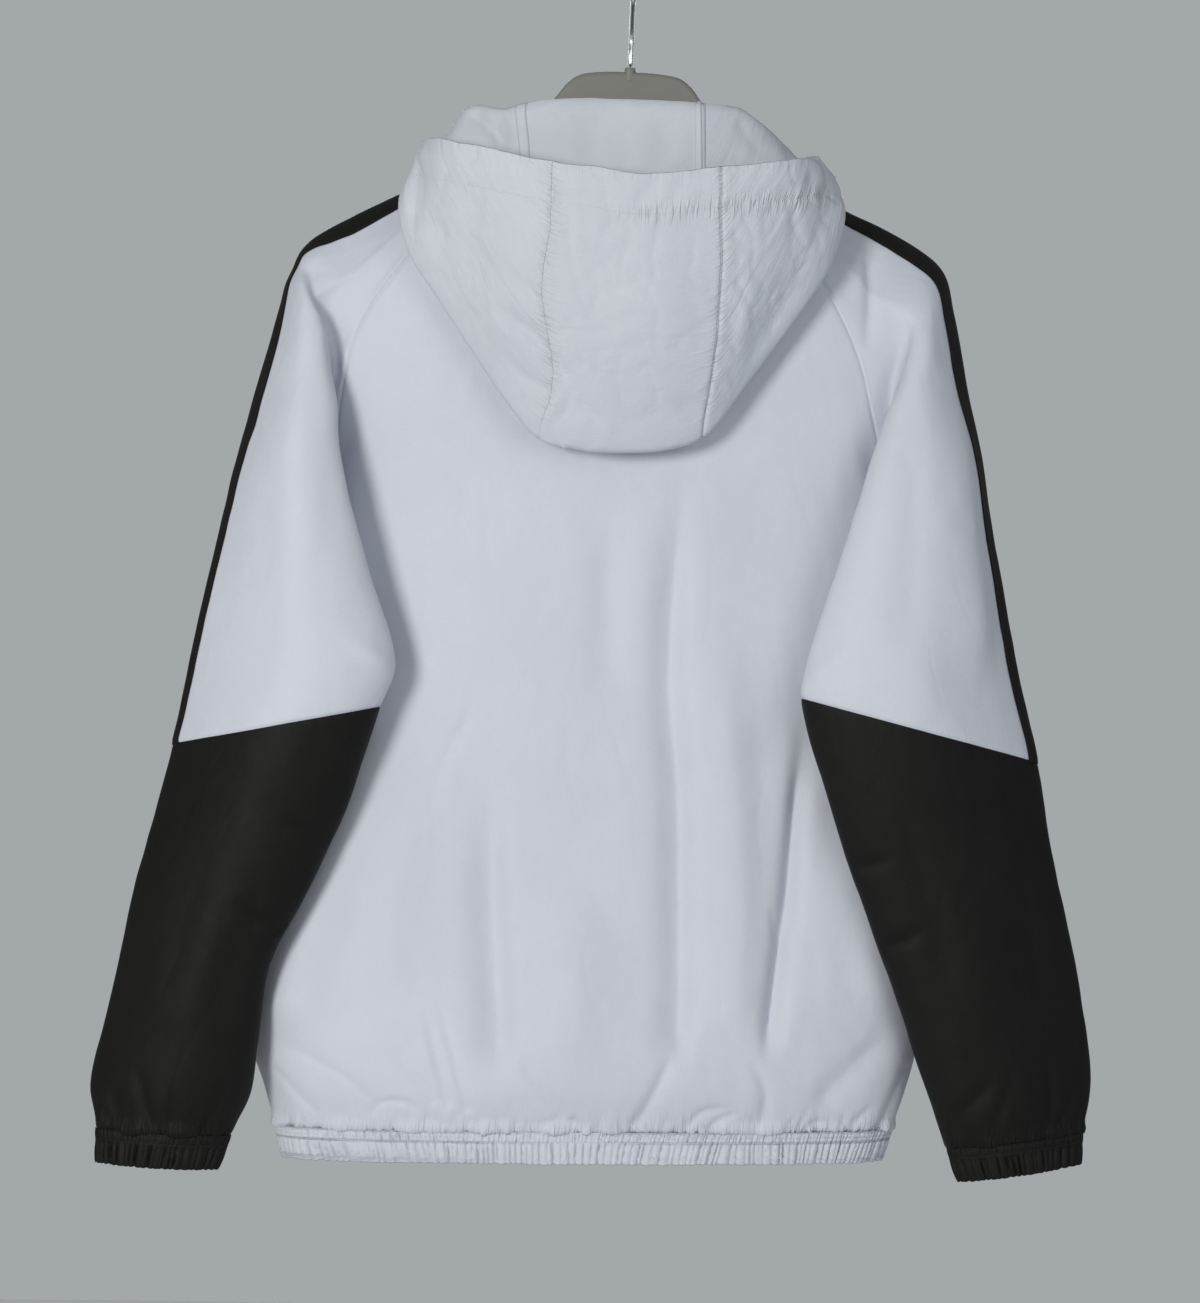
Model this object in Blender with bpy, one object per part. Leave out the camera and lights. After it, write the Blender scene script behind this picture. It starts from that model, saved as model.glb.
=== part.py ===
"""Hooded raglan windbreaker, zipped up and hanging on a plastic hanger with a wire hook.

The origin is where a rail carries the hook. X runs across the shoulders, -Y is the side that the
wearer's back faces, and Z points up. Sizes are in millimetres and turned to metres at the end.
"""

import math

import bmesh
import bpy
import numpy as np
from mathutils import Matrix, Vector

MM = 0.001
SIDES = {"right": 1, "left": -1}

# Driving sizes
CLOTH = 1.2  # cloth wall
GAP = 0.3  # between pieces that touch
ZIP_HALF = 3.0  # half the width of the closed zip
ZIP_PROUD = 0.5  # how far the zip's teeth stand out of the cloth
TAPE_REAR = 10.0  # how far down the back face the sleeve tape reaches from the top line
TAPE_FORE = 15.0  # how far down the front face
TAPE_THICK = 1.0
HEM_HEIGHT = 22.0
HEM_CHANNEL = 6.0  # upper channel of the hem band
HEM_PULL = 0.97  # width of the band's lower edge against its upper one
HEM_WAVES_BACK = 54
HEM_WAVES_FRONT = 23  # on each front
CUFF_WAVES = 22
WAVE_DEPTH = 1.1
WAVE_ANGLE = 20  # shading breaks at the waves' crests

COLOURS = {  # base colour, roughness, metallic
    "shell": ((0.56, 0.60, 0.68), 0.6, 0.0),
    "black": ((0.012, 0.012, 0.010), 0.7, 0.0),
    "zip": ((0.50, 0.54, 0.62), 0.5, 0.0),
    "metal": ((0.75, 0.76, 0.77), 0.2, 1.0),
    "hanger": ((0.23, 0.225, 0.205), 0.45, 0.0),
}

# Body sections, from the neck seam down to the hem band. seam_x is half the width between the
# raglan seams and, below the armpit, between the side seams. arc is how far round its half oval a
# panel goes, in degrees, and rise is how much higher the section lies at x = 200.
ARMPIT = 8
BODY_COLUMNS = (
    "z", "centre_x", "seam_x", "back_seam_y", "back_y", "front_seam_y", "front_y", "arc", "rise",
)
BODY = (
    (-146, 0, 72, -40, -46, 36, 50, 50, 0),
    (-181, -2, 112, -38, -46, 40, 50, 55, 0),
    (-218, -6, 144, -36, -44, 42, 50, 60, 0),
    (-255, -8, 168, -33, -42, 42, 50, 65, 0),
    (-283, -8, 180, -29, -40, 38, 50, 70, 0),
    (-308, -7, 186, -23, -38, 32, 50, 75, 0),
    (-333, -5, 191, -15, -37, 25, 50, 80, 0),
    (-354, -3, 193, -5, -36, 16, 50, 85, 0),
    (-372, -2, 195, 6, -35, 6, 50, 90, 0),
    (-440, -1, 191, 8, -33, 8, 50, 90, 0),
    (-520, 0, 190, 8, -33, 8, 50, 90, 0),
    (-600, 0, 198, 8, -34, 8, 51, 90, 0),
    (-680, 0, 220, 8, -38, 8, 53, 90, 2),
    (-735, -2, 233, 8, -43, 8, 56, 90, 4),
    (-768, -4, 236, 8, -47, 8, 58, 90, 6),
    (-797, -2, 228, 8, -46, 8, 56, 90, 7),
    (-826, -2, 219, 8, -36, 8, 48, 90, 7),
)
NECK_DROP_SEAM = 18  # how far the front neckline lies under the back one, at the raglan seam
NECK_DROP_CENTRE = 66
NECK_DROP_ROWS = 5
RISE_AT = 200

# Large folds of the back: a line from top to bottom, its depth (a trough is under zero) and width
FOLD_COLUMNS = ("top_x", "top_z", "low_x", "low_z", "depth", "width")
BACK_FOLDS = (
    (60, -370, 44, -776, -6, 16),
    (90, -500, 92, -760, 6, 18),
    (131, -572, 122, -765, -8, 15),
    (-79, -616, -82, -785, -6, 15),
    (-2, -382, 12, -536, -4, 20),
    (-128, -560, -148, -750, 5, 22),
    (-10, -640, -20, -780, 4, 22),
)

# Sleeve sections, from the neck seam to the cuff's lower edge. The outline gives the fold that
# hangs over the body and the top edge. The depths give the tube between them, with valley_dx and
# under_dx measured from the fold.
PANEL_SEAM = 11
CUFF_TOP = 17
OUTLINE_COLUMNS = ("fold_x", "fold_z", "top_x", "top_z")
SLEEVE_OUTLINE = {
    "right": (
        (77, -142, 84, -134),
        (114, -171, 120, -152),
        (148, -200, 160, -171),
        (176, -228, 193, -186),
        (203, -247, 225, -208),
        (199, -283, 235, -240),
        (187, -320, 246, -290),
        (177, -352, 256, -335),
        (171, -376, 263, -372),
        (157, -430, 276, -430),
        (142, -485, 291, -494),
        (138, -515, 307, -553),
        (160, -585, 320, -615),
        (184, -650, 333, -665),
        (209, -710, 346, -722),
        (230, -766, 354, -768),
        (246, -805, 353, -797),
        (255, -828, 350, -813),
        (264, -851, 350, -835),
    ),
    "left": (
        (77, -142, 84, -134),
        (116, -171, 122, -153),
        (155, -198, 160, -171),
        (184, -226, 193, -188),
        (209, -247, 226, -211),
        (205, -283, 236, -240),
        (195, -320, 249, -290),
        (191, -352, 259, -335),
        (186, -378, 267, -372),
        (170, -430, 278, -430),
        (147, -502, 290, -494),
        (156, -533, 302, -565),
        (176, -602, 313, -618),
        (204, -665, 325, -670),
        (231, -718, 335, -725),
        (239, -772, 344, -768),
        (241, -808, 351, -808),
        (251, -840, 345, -839),
        (258, -864, 344, -863),
    ),
}
DEPTH_COLUMNS = (
    "fold_y", "fold_r", "face_y", "top_y", "top_r", "front_y",
    "valley_dx", "valley_y", "under_dx", "under_y",
)
SLEEVE_DEPTH = (
    (-28, 0, -16, 0, 6, 18, -3, -34, 0, 0),
    (-28, 0, -16, 0, 6, 18, -3, -33, 0, 0),
    (-29, 0, -17, 0, 7, 20, -5, -33, 0, 0),
    (-29, 0, -19, 0, 8, 21, -8, -31, 0, 0),
    (-33, 3, -27, -1, 9, 18, -12, -28, 0, 0),
    (-40, 6, -40, -6, 10, 14, -6, -21, 0, 0),
    (-47, 9, -53, -12, 11, 10, 10, -14, 0, 0),
    (-52, 12, -63, -15, 12, 6, 24, -10, 0, 0),
    (-54, 13, -69, -17, 12, 6, 32, -14, 0, 0),
    (-54, 14, -74, -19, 12, 2, 31, -26, 44, -8),
    (-54, 15, -77, -20, 12, -2, 27, -30, 46, -18),
    (-54, 15, -76, -21, 12, -4, 30, -31, 48, -20),
    (-50, 14, -70, -20, 11, -3, 28, -29, 46, -18),
    (-46, 13, -64, -18, 11, 0, 24, -26, 40, -14),
    (-41, 13, -58, -16, 11, 3, 21, -22, 34, -10),
    (-34, 13, -52, -14, 11, 6, 16, -16, 28, -6),
    (-27, 13, -48, -14, 11, 8, 12, -10, 24, -2),
    (-22, 9, -41, -18, 9, 3, 10, -9, 20, -5),
    (-22, 8, -40, -19, 9, 1, 9, -10, 18, -7),
)
TOP_KEY = 7  # the top edge's place among a sleeve section's points
SLEEVE_STEPS = (2, 1, 1, 1, 2, 2, 2, 2, 2, 2)

# Hood sections, from the centre of the back round to the zip. Each climbs from the neck seam to a
# fold, falls to the bottom of the pouch and climbs again to the face edge.
HOOD_SEAM = 2
HOOD_LAST = 14
HOOD_COLUMNS = ("fold_x", "fold_z", "pouch_x", "pouch_z", "edge_x", "edge_z")
HOOD_CENTRE = (-12, -104, 4, -350, 8, -160)
HOOD_OUTLINE = {
    "right": (
        (20, -104, 32, -347, 36, -158),
        (49, -105, 60, -337, 66, -153),
        (66, -105, 84, -300, 92, -149),
        (80, -107, 107, -264, 112, -145),
        (92, -114, 127, -235, 124, -142),
        (104, -123, 145, -208, 134, -139),
        (113, -130, 152, -170, 144, -147),
        (104, -129, 130, -142, 146, -150),
        (97, -132, 117, -136, 137, -147),
        (90, -137, 110, -137, 128, -142),
        (86, -146, 100, -139, 114, -138),
        (68, -160, 79, -147, 88, -140),
        (39, -176, 45, -157, 50, -145),
        (ZIP_HALF, -182, ZIP_HALF, -163, ZIP_HALF, -149),
    ),
    "left": (
        (44, -105, 26, -349, 22, -157),
        (74, -110, 52, -344, 51, -154),
        (86, -113, 82, -315, 84, -148),
        (97, -112, 112, -285, 104, -144),
        (106, -110, 134, -254, 120, -141),
        (114, -112, 149, -214, 132, -138),
        (119, -119, 147, -169, 142, -136),
        (106, -122, 130, -138, 145, -143),
        (97, -129, 117, -135, 137, -144),
        (90, -137, 110, -137, 128, -142),
        (86, -146, 100, -139, 114, -138),
        (68, -160, 79, -147, 88, -140),
        (39, -176, 45, -157, 50, -145),
        (ZIP_HALF, -182, ZIP_HALF, -163, ZIP_HALF, -149),
    ),
}
HOOD_DEPTH_COLUMNS = ("neck", "fold_y", "inner_y", "pouch_y", "outer_y", "edge_y")
HOOD_DEPTH = (  # neck is the share of the way round the neck seam
    (0.00, -60, -60, -60, -98, -112),
    (0.11, -60, -60, -60, -97, -111),
    (0.20, -58, -58, -58, -93, -107),
    (0.27, -54, -57, -58, -90, -102),
    (0.31, -49, -56, -58, -84, -95),
    (0.35, -42, -54, -57, -77, -86),
    (0.38, -33, -49, -54, -65, -73),
    (0.42, -20, -34, -43, -49, -52),
    (0.46, -6, -11, -15, -21, -28),
    (0.51, 11, 9, 5, 0, -7),
    (0.57, 27, 26, 24, 20, 15),
    (0.65, 42, 43, 43, 42, 40),
    (0.73, 56, 60, 64, 66, 68),
    (0.86, 60, 65, 69, 73, 76),
    (1.00, 59.7, 62.5, 65.4, 67.5, 69.6),
)
HOOD_STEPS = (1, 2, 1, 2, 2, 1, 1, 2, 2, 1)
HOOD_ROUND = (1, 1, 1, 1, 2, 2, 1, 1, 1, 1, 1, 1)  # rows round a side of the hood, after its seam
NECK_GAP = 0.8  # between the hood and the rolled-over shoulder cloth
HOOD_TURN = 4.0  # half the depth of the pouch's bottom turn
STAND_LIFT = 9.0  # how steeply the hood leaves the neck seam

# Hanger and hook
HANGER_THICK = 8.0
HANGER_BEVEL = 3.5
HANGER_HUMP = ((0, -76.5), (24, -77.5), (36, -80), (44, -86), (51, -95), (59, -106), (70, -120))
HANGER_LOWER = ((206, -212), (160, -197), (110, -177), (60, -156), (0, -144))
HANGER_SLACK = 2.2  # under the ridge of the cloth, whose sides the arm just clears
HANGER_TIP = 0.3  # how far along the last stretch of the shoulder the arm reaches
HANGER_NOD = 3.0  # how far the arm's end nods under that line
BOSS_RADIUS = 4.5
BOSS_TOP = -73.5
HOOK_WIRE = 3.5
HOOK_RADIUS = 20.0  # of the wire's centre line
HOOK_SHANK_TOP = -52.0
HOOK_OPEN = 215  # degrees of the loop, from its foot over the top to the tip

# Zip slider and pull, in the slider's own frame: x across, y outwards, z along the zip
SLIDER_Z = -163.0
SLIDER_LENGTH = 14.0
SLIDER_WIDTH = 9.0
SLIDER_THICK = 2.2
BAIL_OUT = 4.2  # the pull's axis, above the slider's inner face
BAIL_UP = 2.0
BAIL_HOLE = 1.5
BAIL_WALL = 1.1
BAIL_WIDTH = 3.2
PULL_BAR = 1.2
PULL_WIDTH = 8.0
PULL_LENGTH = 26.0
PULL_SLOT = 3.4  # from the axis to the slot's far end


def table(columns, rows):
    return [dict(zip(columns, row)) for row in rows]


def lerp(a, b, share):
    return np.asarray(a, float) * (1 - share) + np.asarray(b, float) * share


def towards(a, b, distance):
    step = b - a
    return a + step / np.linalg.norm(step) * distance


def clear_scene():
    for item in list(bpy.data.objects):
        bpy.data.objects.remove(item)


def material(name):
    known = bpy.data.materials.get(name)
    if known:
        return known
    base, roughness, metallic = COLOURS[name]
    made = bpy.data.materials.new(name)
    made.use_nodes = True
    shader = made.node_tree.nodes["Principled BSDF"]
    shader.inputs["Base Color"].default_value = (*base, 1)
    shader.inputs["Roughness"].default_value = roughness
    shader.inputs["Metallic"].default_value = metallic
    made.diffuse_color = (*base, 1)
    return made


def add_object(name, bm, colour, smooth_angle=50):
    bmesh.ops.recalc_face_normals(bm, faces=bm.faces)
    mesh = bpy.data.meshes.new(name)
    bm.to_mesh(mesh)
    bm.free()
    mesh.shade_smooth()
    mesh.set_sharp_from_angle(angle=math.radians(smooth_angle))
    mesh.materials.append(material(colour))
    made = bpy.data.objects.new(name, mesh)
    bpy.context.collection.objects.link(made)
    return made


def smooth_curve(points, at):
    """Centripetal Catmull-Rom through points[1:-1]; at counts from the first of those."""
    points = np.asarray(points, float)
    at = np.clip(np.asarray(at, float), 0, len(points) - 3)
    first = np.minimum(at.astype(int), len(points) - 4)
    share = (at - first).reshape(-1, *[1] * (points.ndim - 1))
    p0, p1, p2, p3 = (points[first + step] for step in range(4))
    d1, d2, d3 = (
        np.maximum(np.sqrt(np.linalg.norm(b - a, axis=-1, keepdims=True)), 1e-3)
        for a, b in ((p0, p1), (p1, p2), (p2, p3))
    )
    m1 = d2 * ((p1 - p0) / d1 - (p2 - p0) / (d1 + d2)) + (p2 - p1)
    m2 = d2 * ((p3 - p2) / d3 - (p3 - p1) / (d2 + d3)) + (p2 - p1)
    square, cube = share**2, share**3
    return (
        (2 * cube - 3 * square + 1) * p1
        + (cube - 2 * square + share) * m1
        + (3 * square - 2 * cube) * p2
        + (cube - square) * m2
    )


def extend(points):
    """Adds a mirrored point at each end, for the curve's end directions."""
    points = np.asarray(points, float)
    head = 2 * points[:1] - points[1:2]
    tail = 2 * points[-1:] - points[-2:-1]
    return np.concatenate([head, points, tail])


class Surface:
    """A cloth panel's smooth surface through rows of points, each with a neighbour at both ends."""

    def __init__(self, rows):
        self.rows = np.asarray(rows, float)

    def at(self, t, s):
        sections = np.stack([smooth_curve(row, s) for row in self.rows])
        return smooth_curve(extend(sections), t)

    def normal(self, t, s):
        small = 1e-3
        last_t = len(self.rows) - 1
        last_s = self.rows.shape[1] - 3
        t0, t1 = np.clip(t - small, 0, last_t), np.clip(t + small, 0, last_t)
        s0, s1 = np.clip(s - small, 0, last_s), np.clip(s + small, 0, last_s)
        cross = np.cross(self.at(t1, s) - self.at(t0, s), self.at(t, s1) - self.at(t, s0))
        return cross / np.maximum(np.linalg.norm(cross, axis=-1, keepdims=True), 1e-12)


def spread(steps, first=0):
    """Even stations: steps[i] of them between point first + i and the next."""
    parts = [first + i + np.arange(count) / count for i, count in enumerate(steps)]
    return np.append(np.concatenate(parts), first + len(steps))


def even_stations(surface, t, count, first, last):
    """Stations that lie at even distances along the section at t."""
    fine = np.linspace(first, last, 400)
    length = np.linalg.norm(np.diff(surface.at(np.array([t]), fine)[0], axis=0), axis=1).cumsum()
    length = np.append(0, length)
    return np.interp(np.linspace(0, length[-1], count + 1), length, fine)


def pull_in(points, edges, distance=GAP / 2):
    """Draws the named edges of a grid back from its seams."""
    for edge in edges:
        row, following = {
            "top": (np.s_[0], np.s_[1]),
            "low": (np.s_[-1], np.s_[-2]),
            "start": (np.s_[:, 0], np.s_[:, 1]),
            "end": (np.s_[:, -1], np.s_[:, -2]),
        }[edge]
        step = points[following] - points[row]
        points[row] += step / np.linalg.norm(step, axis=-1, keepdims=True) * distance


def wall(name, outer, normal, colour, thickness=CLOTH, joined_from=None, smooth_angle=50):
    """A closed cloth wall under a grid of outer points, with both faces split along one diagonal.

    From the row joined_from on, the grid's last column is its first, as round a tube.
    """
    inner = outer - normal * thickness
    rows, columns = outer.shape[:2]
    joined = rows if joined_from is None else joined_from
    bm = bmesh.new()
    layers = []
    for grid in (outer, inner):
        corners = [[bm.verts.new(point * MM) for point in row[:-1]] for row in grid]
        for i, row in enumerate(corners):
            row.append(row[0] if i >= joined else bm.verts.new(grid[i, -1] * MM))
        layers.append(corners)
    top, low = layers
    for i in range(rows - 1):
        for j in range(columns - 1):
            falling = np.linalg.norm(outer[i, j] - outer[i + 1, j + 1])
            rising = np.linalg.norm(outer[i, j + 1] - outer[i + 1, j])
            for side, turn in ((top, 1), (low, -1)):
                a, b, c, d = side[i][j], side[i][j + 1], side[i + 1][j + 1], side[i + 1][j]
                halves = ((a, b, c), (a, c, d)) if falling <= rising else ((a, b, d), (b, c, d))
                for half in halves:
                    bm.faces.new(half[::turn])
    for i in (0, rows - 1):
        for j in range(columns - 1):
            bm.faces.new((top[i][j], low[i][j], low[i][j + 1], top[i][j + 1]))
    for i in range(min(rows - 1, joined)):
        for j in (0, columns - 1):
            bm.faces.new((top[i][j], top[i + 1][j], low[i + 1][j], low[i][j]))
    return add_object(name, bm, colour, smooth_angle)


def evened(normal, passes=3):
    """Turns each normal of a grid towards its neighbours', but for those on the grid's edges."""
    normal = normal.copy()
    for _ in range(passes):
        around = normal[:-2, 1:-1] + normal[2:, 1:-1] + normal[1:-1, :-2] + normal[1:-1, 2:]
        normal[1:-1, 1:-1] += around / 2
        normal /= np.linalg.norm(normal, axis=-1, keepdims=True)
    return normal


# ---- Surfaces of the garment


def body_rows():
    return table(BODY_COLUMNS, BODY)


def neck_drop(index, share):
    """How far a front section hangs under the back one; share runs from the zip to the seam."""
    fade = max(0.0, 1 - index / NECK_DROP_ROWS)
    return fade * (NECK_DROP_SEAM + (NECK_DROP_CENTRE - NECK_DROP_SEAM) * (1 - share**2))


def body_point(index, side, face, share):
    """A point of a body section: share runs from the centre line to the seam."""
    row = body_rows()[index]
    turn = math.radians(row["arc"])
    across = (math.sin(share * turn) / math.sin(turn)) ** 0.85
    inwards = (1 - math.cos(share * turn) ** 0.85) / (1 - max(math.cos(turn), 0) ** 0.85)
    seam_x = row["centre_x"] + side * row["seam_x"]
    centre_x = side * (ZIP_HALF + GAP) if face == "front" else row["centre_x"]
    x = centre_x + (seam_x - centre_x) * across
    y = row[face + "_y"] + (row[face + "_seam_y"] - row[face + "_y"]) * inwards
    drop = neck_drop(index, share) if face == "front" else 0
    return np.array([x, y, row["z"] - drop + row["rise"] * x / RISE_AT])


PANEL_SHARES = (0, 0.25, 0.5, 0.75, 1)


def half_section(index, side, face):
    return [body_point(index, side, face, share) for share in PANEL_SHARES]


def sleeve_section(index, side_name):
    """Eleven points round a sleeve, from the back raglan seam or the underarm seam."""
    side = SIDES[side_name]
    outline = table(OUTLINE_COLUMNS, SLEEVE_OUTLINE[side_name])[index]
    depth = table(DEPTH_COLUMNS, SLEEVE_DEPTH)[index]
    fold = np.array([side * outline["fold_x"], depth["fold_y"], outline["fold_z"]])
    top = np.array([side * outline["top_x"], depth["top_y"], outline["top_z"]])

    def between(x_step, y):
        share = x_step / (outline["top_x"] - outline["fold_x"])
        point = lerp(fold, top, share)
        point[1] = y
        return point

    valley = between(depth["valley_dx"], depth["valley_y"])
    if index <= ARMPIT:
        start = body_point(index, side, "back", 1)
        end = body_point(index, side, "front", 1)
        valley[2] = (start[2] + fold[2]) / 2
        if index == ARMPIT:
            start = start + (side * (CLOTH + GAP), 0, 0)
            end = start
    else:
        start = end = between(depth["under_dx"], depth["under_y"])
    face = lerp(fold, top, 0.5)
    face[1] = depth["face_y"]
    front = lerp(top, end, 0.45)
    front[1] = depth["front_y"]
    return [
        start,
        valley,
        lerp(fold, valley, 0.25) + (0, 0.4 * depth["fold_r"], 0),
        fold,
        lerp(fold, face, 0.25) - (0, 0.7 * depth["fold_r"], 0),
        face,
        towards(top, face, TAPE_REAR) - (0, 0.5 * depth["top_r"], 0),
        top,
        towards(top, front, TAPE_FORE) + (0, 0.5 * depth["top_r"], 0),
        front,
        end,
    ]


def back_surface():
    rows = []
    for index in range(len(BODY)):
        left = half_section(index, -1, "back")
        right = half_section(index, 1, "back")
        beyond = [neighbour(index, name, "back") for name in ("left", "right")]
        rows.append([beyond[0], *left[::-1], *right[1:], beyond[1]])
    return Surface(rows)


def neighbour(index, side_name, face):
    """The next point of the cloth past a body panel's seam."""
    if index < ARMPIT:
        return sleeve_section(index, side_name)[1 if face == "back" else -2]
    other = "front" if face == "back" else "back"
    return half_section(index, SIDES[side_name], other)[-2]


def front_surface(side_name):
    rows = []
    for index in range(len(BODY)):
        half = half_section(index, SIDES[side_name], "front")
        mirrored = half[1] * (-1, 1, 1)
        rows.append([mirrored, *half, neighbour(index, side_name, "front")])
    return Surface(rows)


def side_seam(side_name, t):
    """The seam under the arm, midway between what the back and the front would make it."""
    end = np.array([4.0 + 4 * SIDES[side_name]])
    behind = back_surface().at(t, end)[:, 0]
    before = front_surface(side_name).at(t, np.array([4.0]))[:, 0]
    return (behind + before) / 2


def sleeve_surface(side_name):
    rows = []
    for index in range(len(SLEEVE_DEPTH)):
        points = sleeve_section(index, side_name)
        if index < ARMPIT:
            before = half_section(index, SIDES[side_name], "back")[-2]
            after = half_section(index, SIDES[side_name], "front")[-2]
        else:
            before, after = points[-2], points[1]
        rows.append([before, *points, after])
    return Surface(rows)


def fold_height(points, folds):
    """How far large folds move each point of a panel out."""
    height = np.zeros(points.shape[:-1])
    for fold in table(FOLD_COLUMNS, folds):
        top = np.array([fold["top_x"], fold["top_z"]])
        line = np.array([fold["low_x"], fold["low_z"]]) - top
        offset = points[..., (0, 2)] - top
        along = offset @ line / (line @ line)
        away = np.linalg.norm(offset - np.clip(along, 0, 1)[..., None] * line, axis=-1)
        height += fold["depth"] * np.exp(-((away / fold["width"]) ** 2))
    return height


# ---- Body


def body_levels():
    """Section numbers down a body panel; the raglan seams keep the sleeves' own."""
    return np.concatenate([np.arange(ARMPIT), spread((2, 2, 2, 2, 1, 1, 1, 1), ARMPIT)])


def make_back():
    surface = back_surface()
    t, s = body_levels(), spread((3, 4, 4, 4, 4, 4, 4, 3))
    outer, normal = surface.at(t, s), -surface.normal(t, s)
    normal *= np.sign(-normal[0, len(s) // 2, 1])
    outer = outer + normal * fold_height(outer, BACK_FOLDS)[..., None]
    for column, side_name in ((0, "left"), (-1, "right")):
        outer[ARMPIT:, column] = side_seam(side_name, t[ARMPIT:])
    pull_in(outer, ("top", "low", "start", "end"))
    wall("back", outer, normal, "shell")


def make_front(side_name):
    surface = front_surface(side_name)
    t, s = body_levels(), spread((2, 2, 2, 3))
    outer, normal = surface.at(t, s), surface.normal(t, s)
    normal *= np.sign(normal[0, 0, 1])
    outer[ARMPIT:, -1] = side_seam(side_name, t[ARMPIT:])
    pull_in(outer, ("top", "low", "end"))
    wall(f"front_{side_name}", outer, normal, "shell")


def make_hem_band():
    """One gathered band from zip to zip, round the back."""
    back, right, left = back_surface(), front_surface("right"), front_surface("left")
    last = np.array([len(BODY) - 1.0])
    stretches = (
        (left, 2 * HEM_WAVES_FRONT, 0, 4),
        (back, 2 * HEM_WAVES_BACK, 0, 8),
        (right, 2 * HEM_WAVES_FRONT, 4, 0),
    )
    ring = []
    for surface, count, first, final in stretches:
        stations = even_stations(surface, last[0], count, first, final)
        ring.append(surface.at(last, stations)[0][:-1])
    ring.append(right.at(last, np.array([0.0]))[0])
    ring = np.concatenate(ring)
    along = np.gradient(ring[:, :2], axis=0)
    out = np.stack([-along[:, 1], along[:, 0], np.zeros(len(ring))], axis=1)
    out *= -1 / np.linalg.norm(out, axis=1, keepdims=True)
    out *= np.sign(out[len(ring) // 2, 1]) * -1
    wave = WAVE_DEPTH * (-1.0) ** np.arange(len(ring))
    rows = []
    for drop, share in ((GAP, 0.3), (HEM_CHANNEL, 0.6), (HEM_HEIGHT, 1.0)):
        pull = 1 - (1 - HEM_PULL) * drop / HEM_HEIGHT
        row = ring * (pull, 1, 1) + out * (wave * share)[:, None]
        row[:, 2] -= drop
        rows.append(row)
    outer = np.stack(rows)
    for column, side in ((0, -1), (-1, 1)):
        outer[:, column, 0] = side * (ZIP_HALF + GAP)
    normal = np.repeat(out[None], len(rows), axis=0)
    normal[:, (0, -1)] = (0, 1, 0)
    wall("hem_band", outer, normal, "shell", smooth_angle=WAVE_ANGLE)


# ---- Sleeves


def sleeve_normal(surface, side_name, t, s):
    normal = surface.normal(t, s)
    return normal * (1 if side_name == "right" else -1)


def upper_sleeve_levels():
    return np.concatenate([np.arange(ARMPIT), spread((2, 2, 2), ARMPIT)])


def make_sleeve(side_name):
    surface = sleeve_surface(side_name)
    s, t = spread(SLEEVE_STEPS), upper_sleeve_levels()
    outer, normal = surface.at(t, s), sleeve_normal(surface, side_name, t, s)
    pull_in(outer, ("top", "low"))
    pull_in(outer[:ARMPIT], ("start", "end"))
    wall(f"sleeve_upper_{side_name}", outer, normal, "shell", joined_from=ARMPIT)
    t = spread((2, 2, 2, 2, 1, 1), PANEL_SEAM)
    outer, normal = surface.at(t, s), sleeve_normal(surface, side_name, t, s)
    pull_in(outer, ("top", "low"))
    wall(f"sleeve_lower_{side_name}", outer, normal, "black", joined_from=0)


def make_cuff(side_name):
    surface = sleeve_surface(side_name)
    s = even_stations(surface, CUFF_TOP + 0.5, 2 * CUFF_WAVES, 0, len(SLEEVE_STEPS))
    t = CUFF_TOP + np.array([0, 0.3, 1])
    outer, normal = surface.at(t, s), sleeve_normal(surface, side_name, t, s)
    wave = WAVE_DEPTH * (-1.0) ** np.arange(len(s))
    shares = np.array([0.3, 0.7, 1.0])
    outer = outer + normal * (shares[:, None] * wave)[..., None]
    pull_in(outer, ("top",), GAP)
    wall(f"cuff_{side_name}", outer, normal, "black", joined_from=0, smooth_angle=WAVE_ANGLE)


def make_tape(side_name):
    """The flat tape sewn along the sleeve's top line, on the points of the panel under it."""
    surface = sleeve_surface(side_name)
    t, s = upper_sleeve_levels(), spread((2, 2), TOP_KEY - 1)
    panel, normal = surface.at(t, s), sleeve_normal(surface, side_name, t, s)
    panel[0] = lerp(panel[0], panel[1], 0.12)
    panel[-1] = lerp(panel[-1], panel[-2], 0.02)
    outer = panel + normal * (GAP + TAPE_THICK)
    wall(f"sleeve_tape_{side_name}", outer, normal, "black", thickness=TAPE_THICK)


# ---- Hood


def neck_ring(side_name):
    """The neck seam of one side, from the centre of the back to the zip."""
    middle = 4
    parts = (
        (back_surface(), middle, middle + 4 * SIDES[side_name]),
        (sleeve_surface(side_name), 0, len(SLEEVE_STEPS)),
        (front_surface(side_name), 4, 0),
    )
    start = np.array([0.0])
    return np.concatenate([part.at(start, np.linspace(a, b, 60))[0] for part, a, b in parts])


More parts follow.
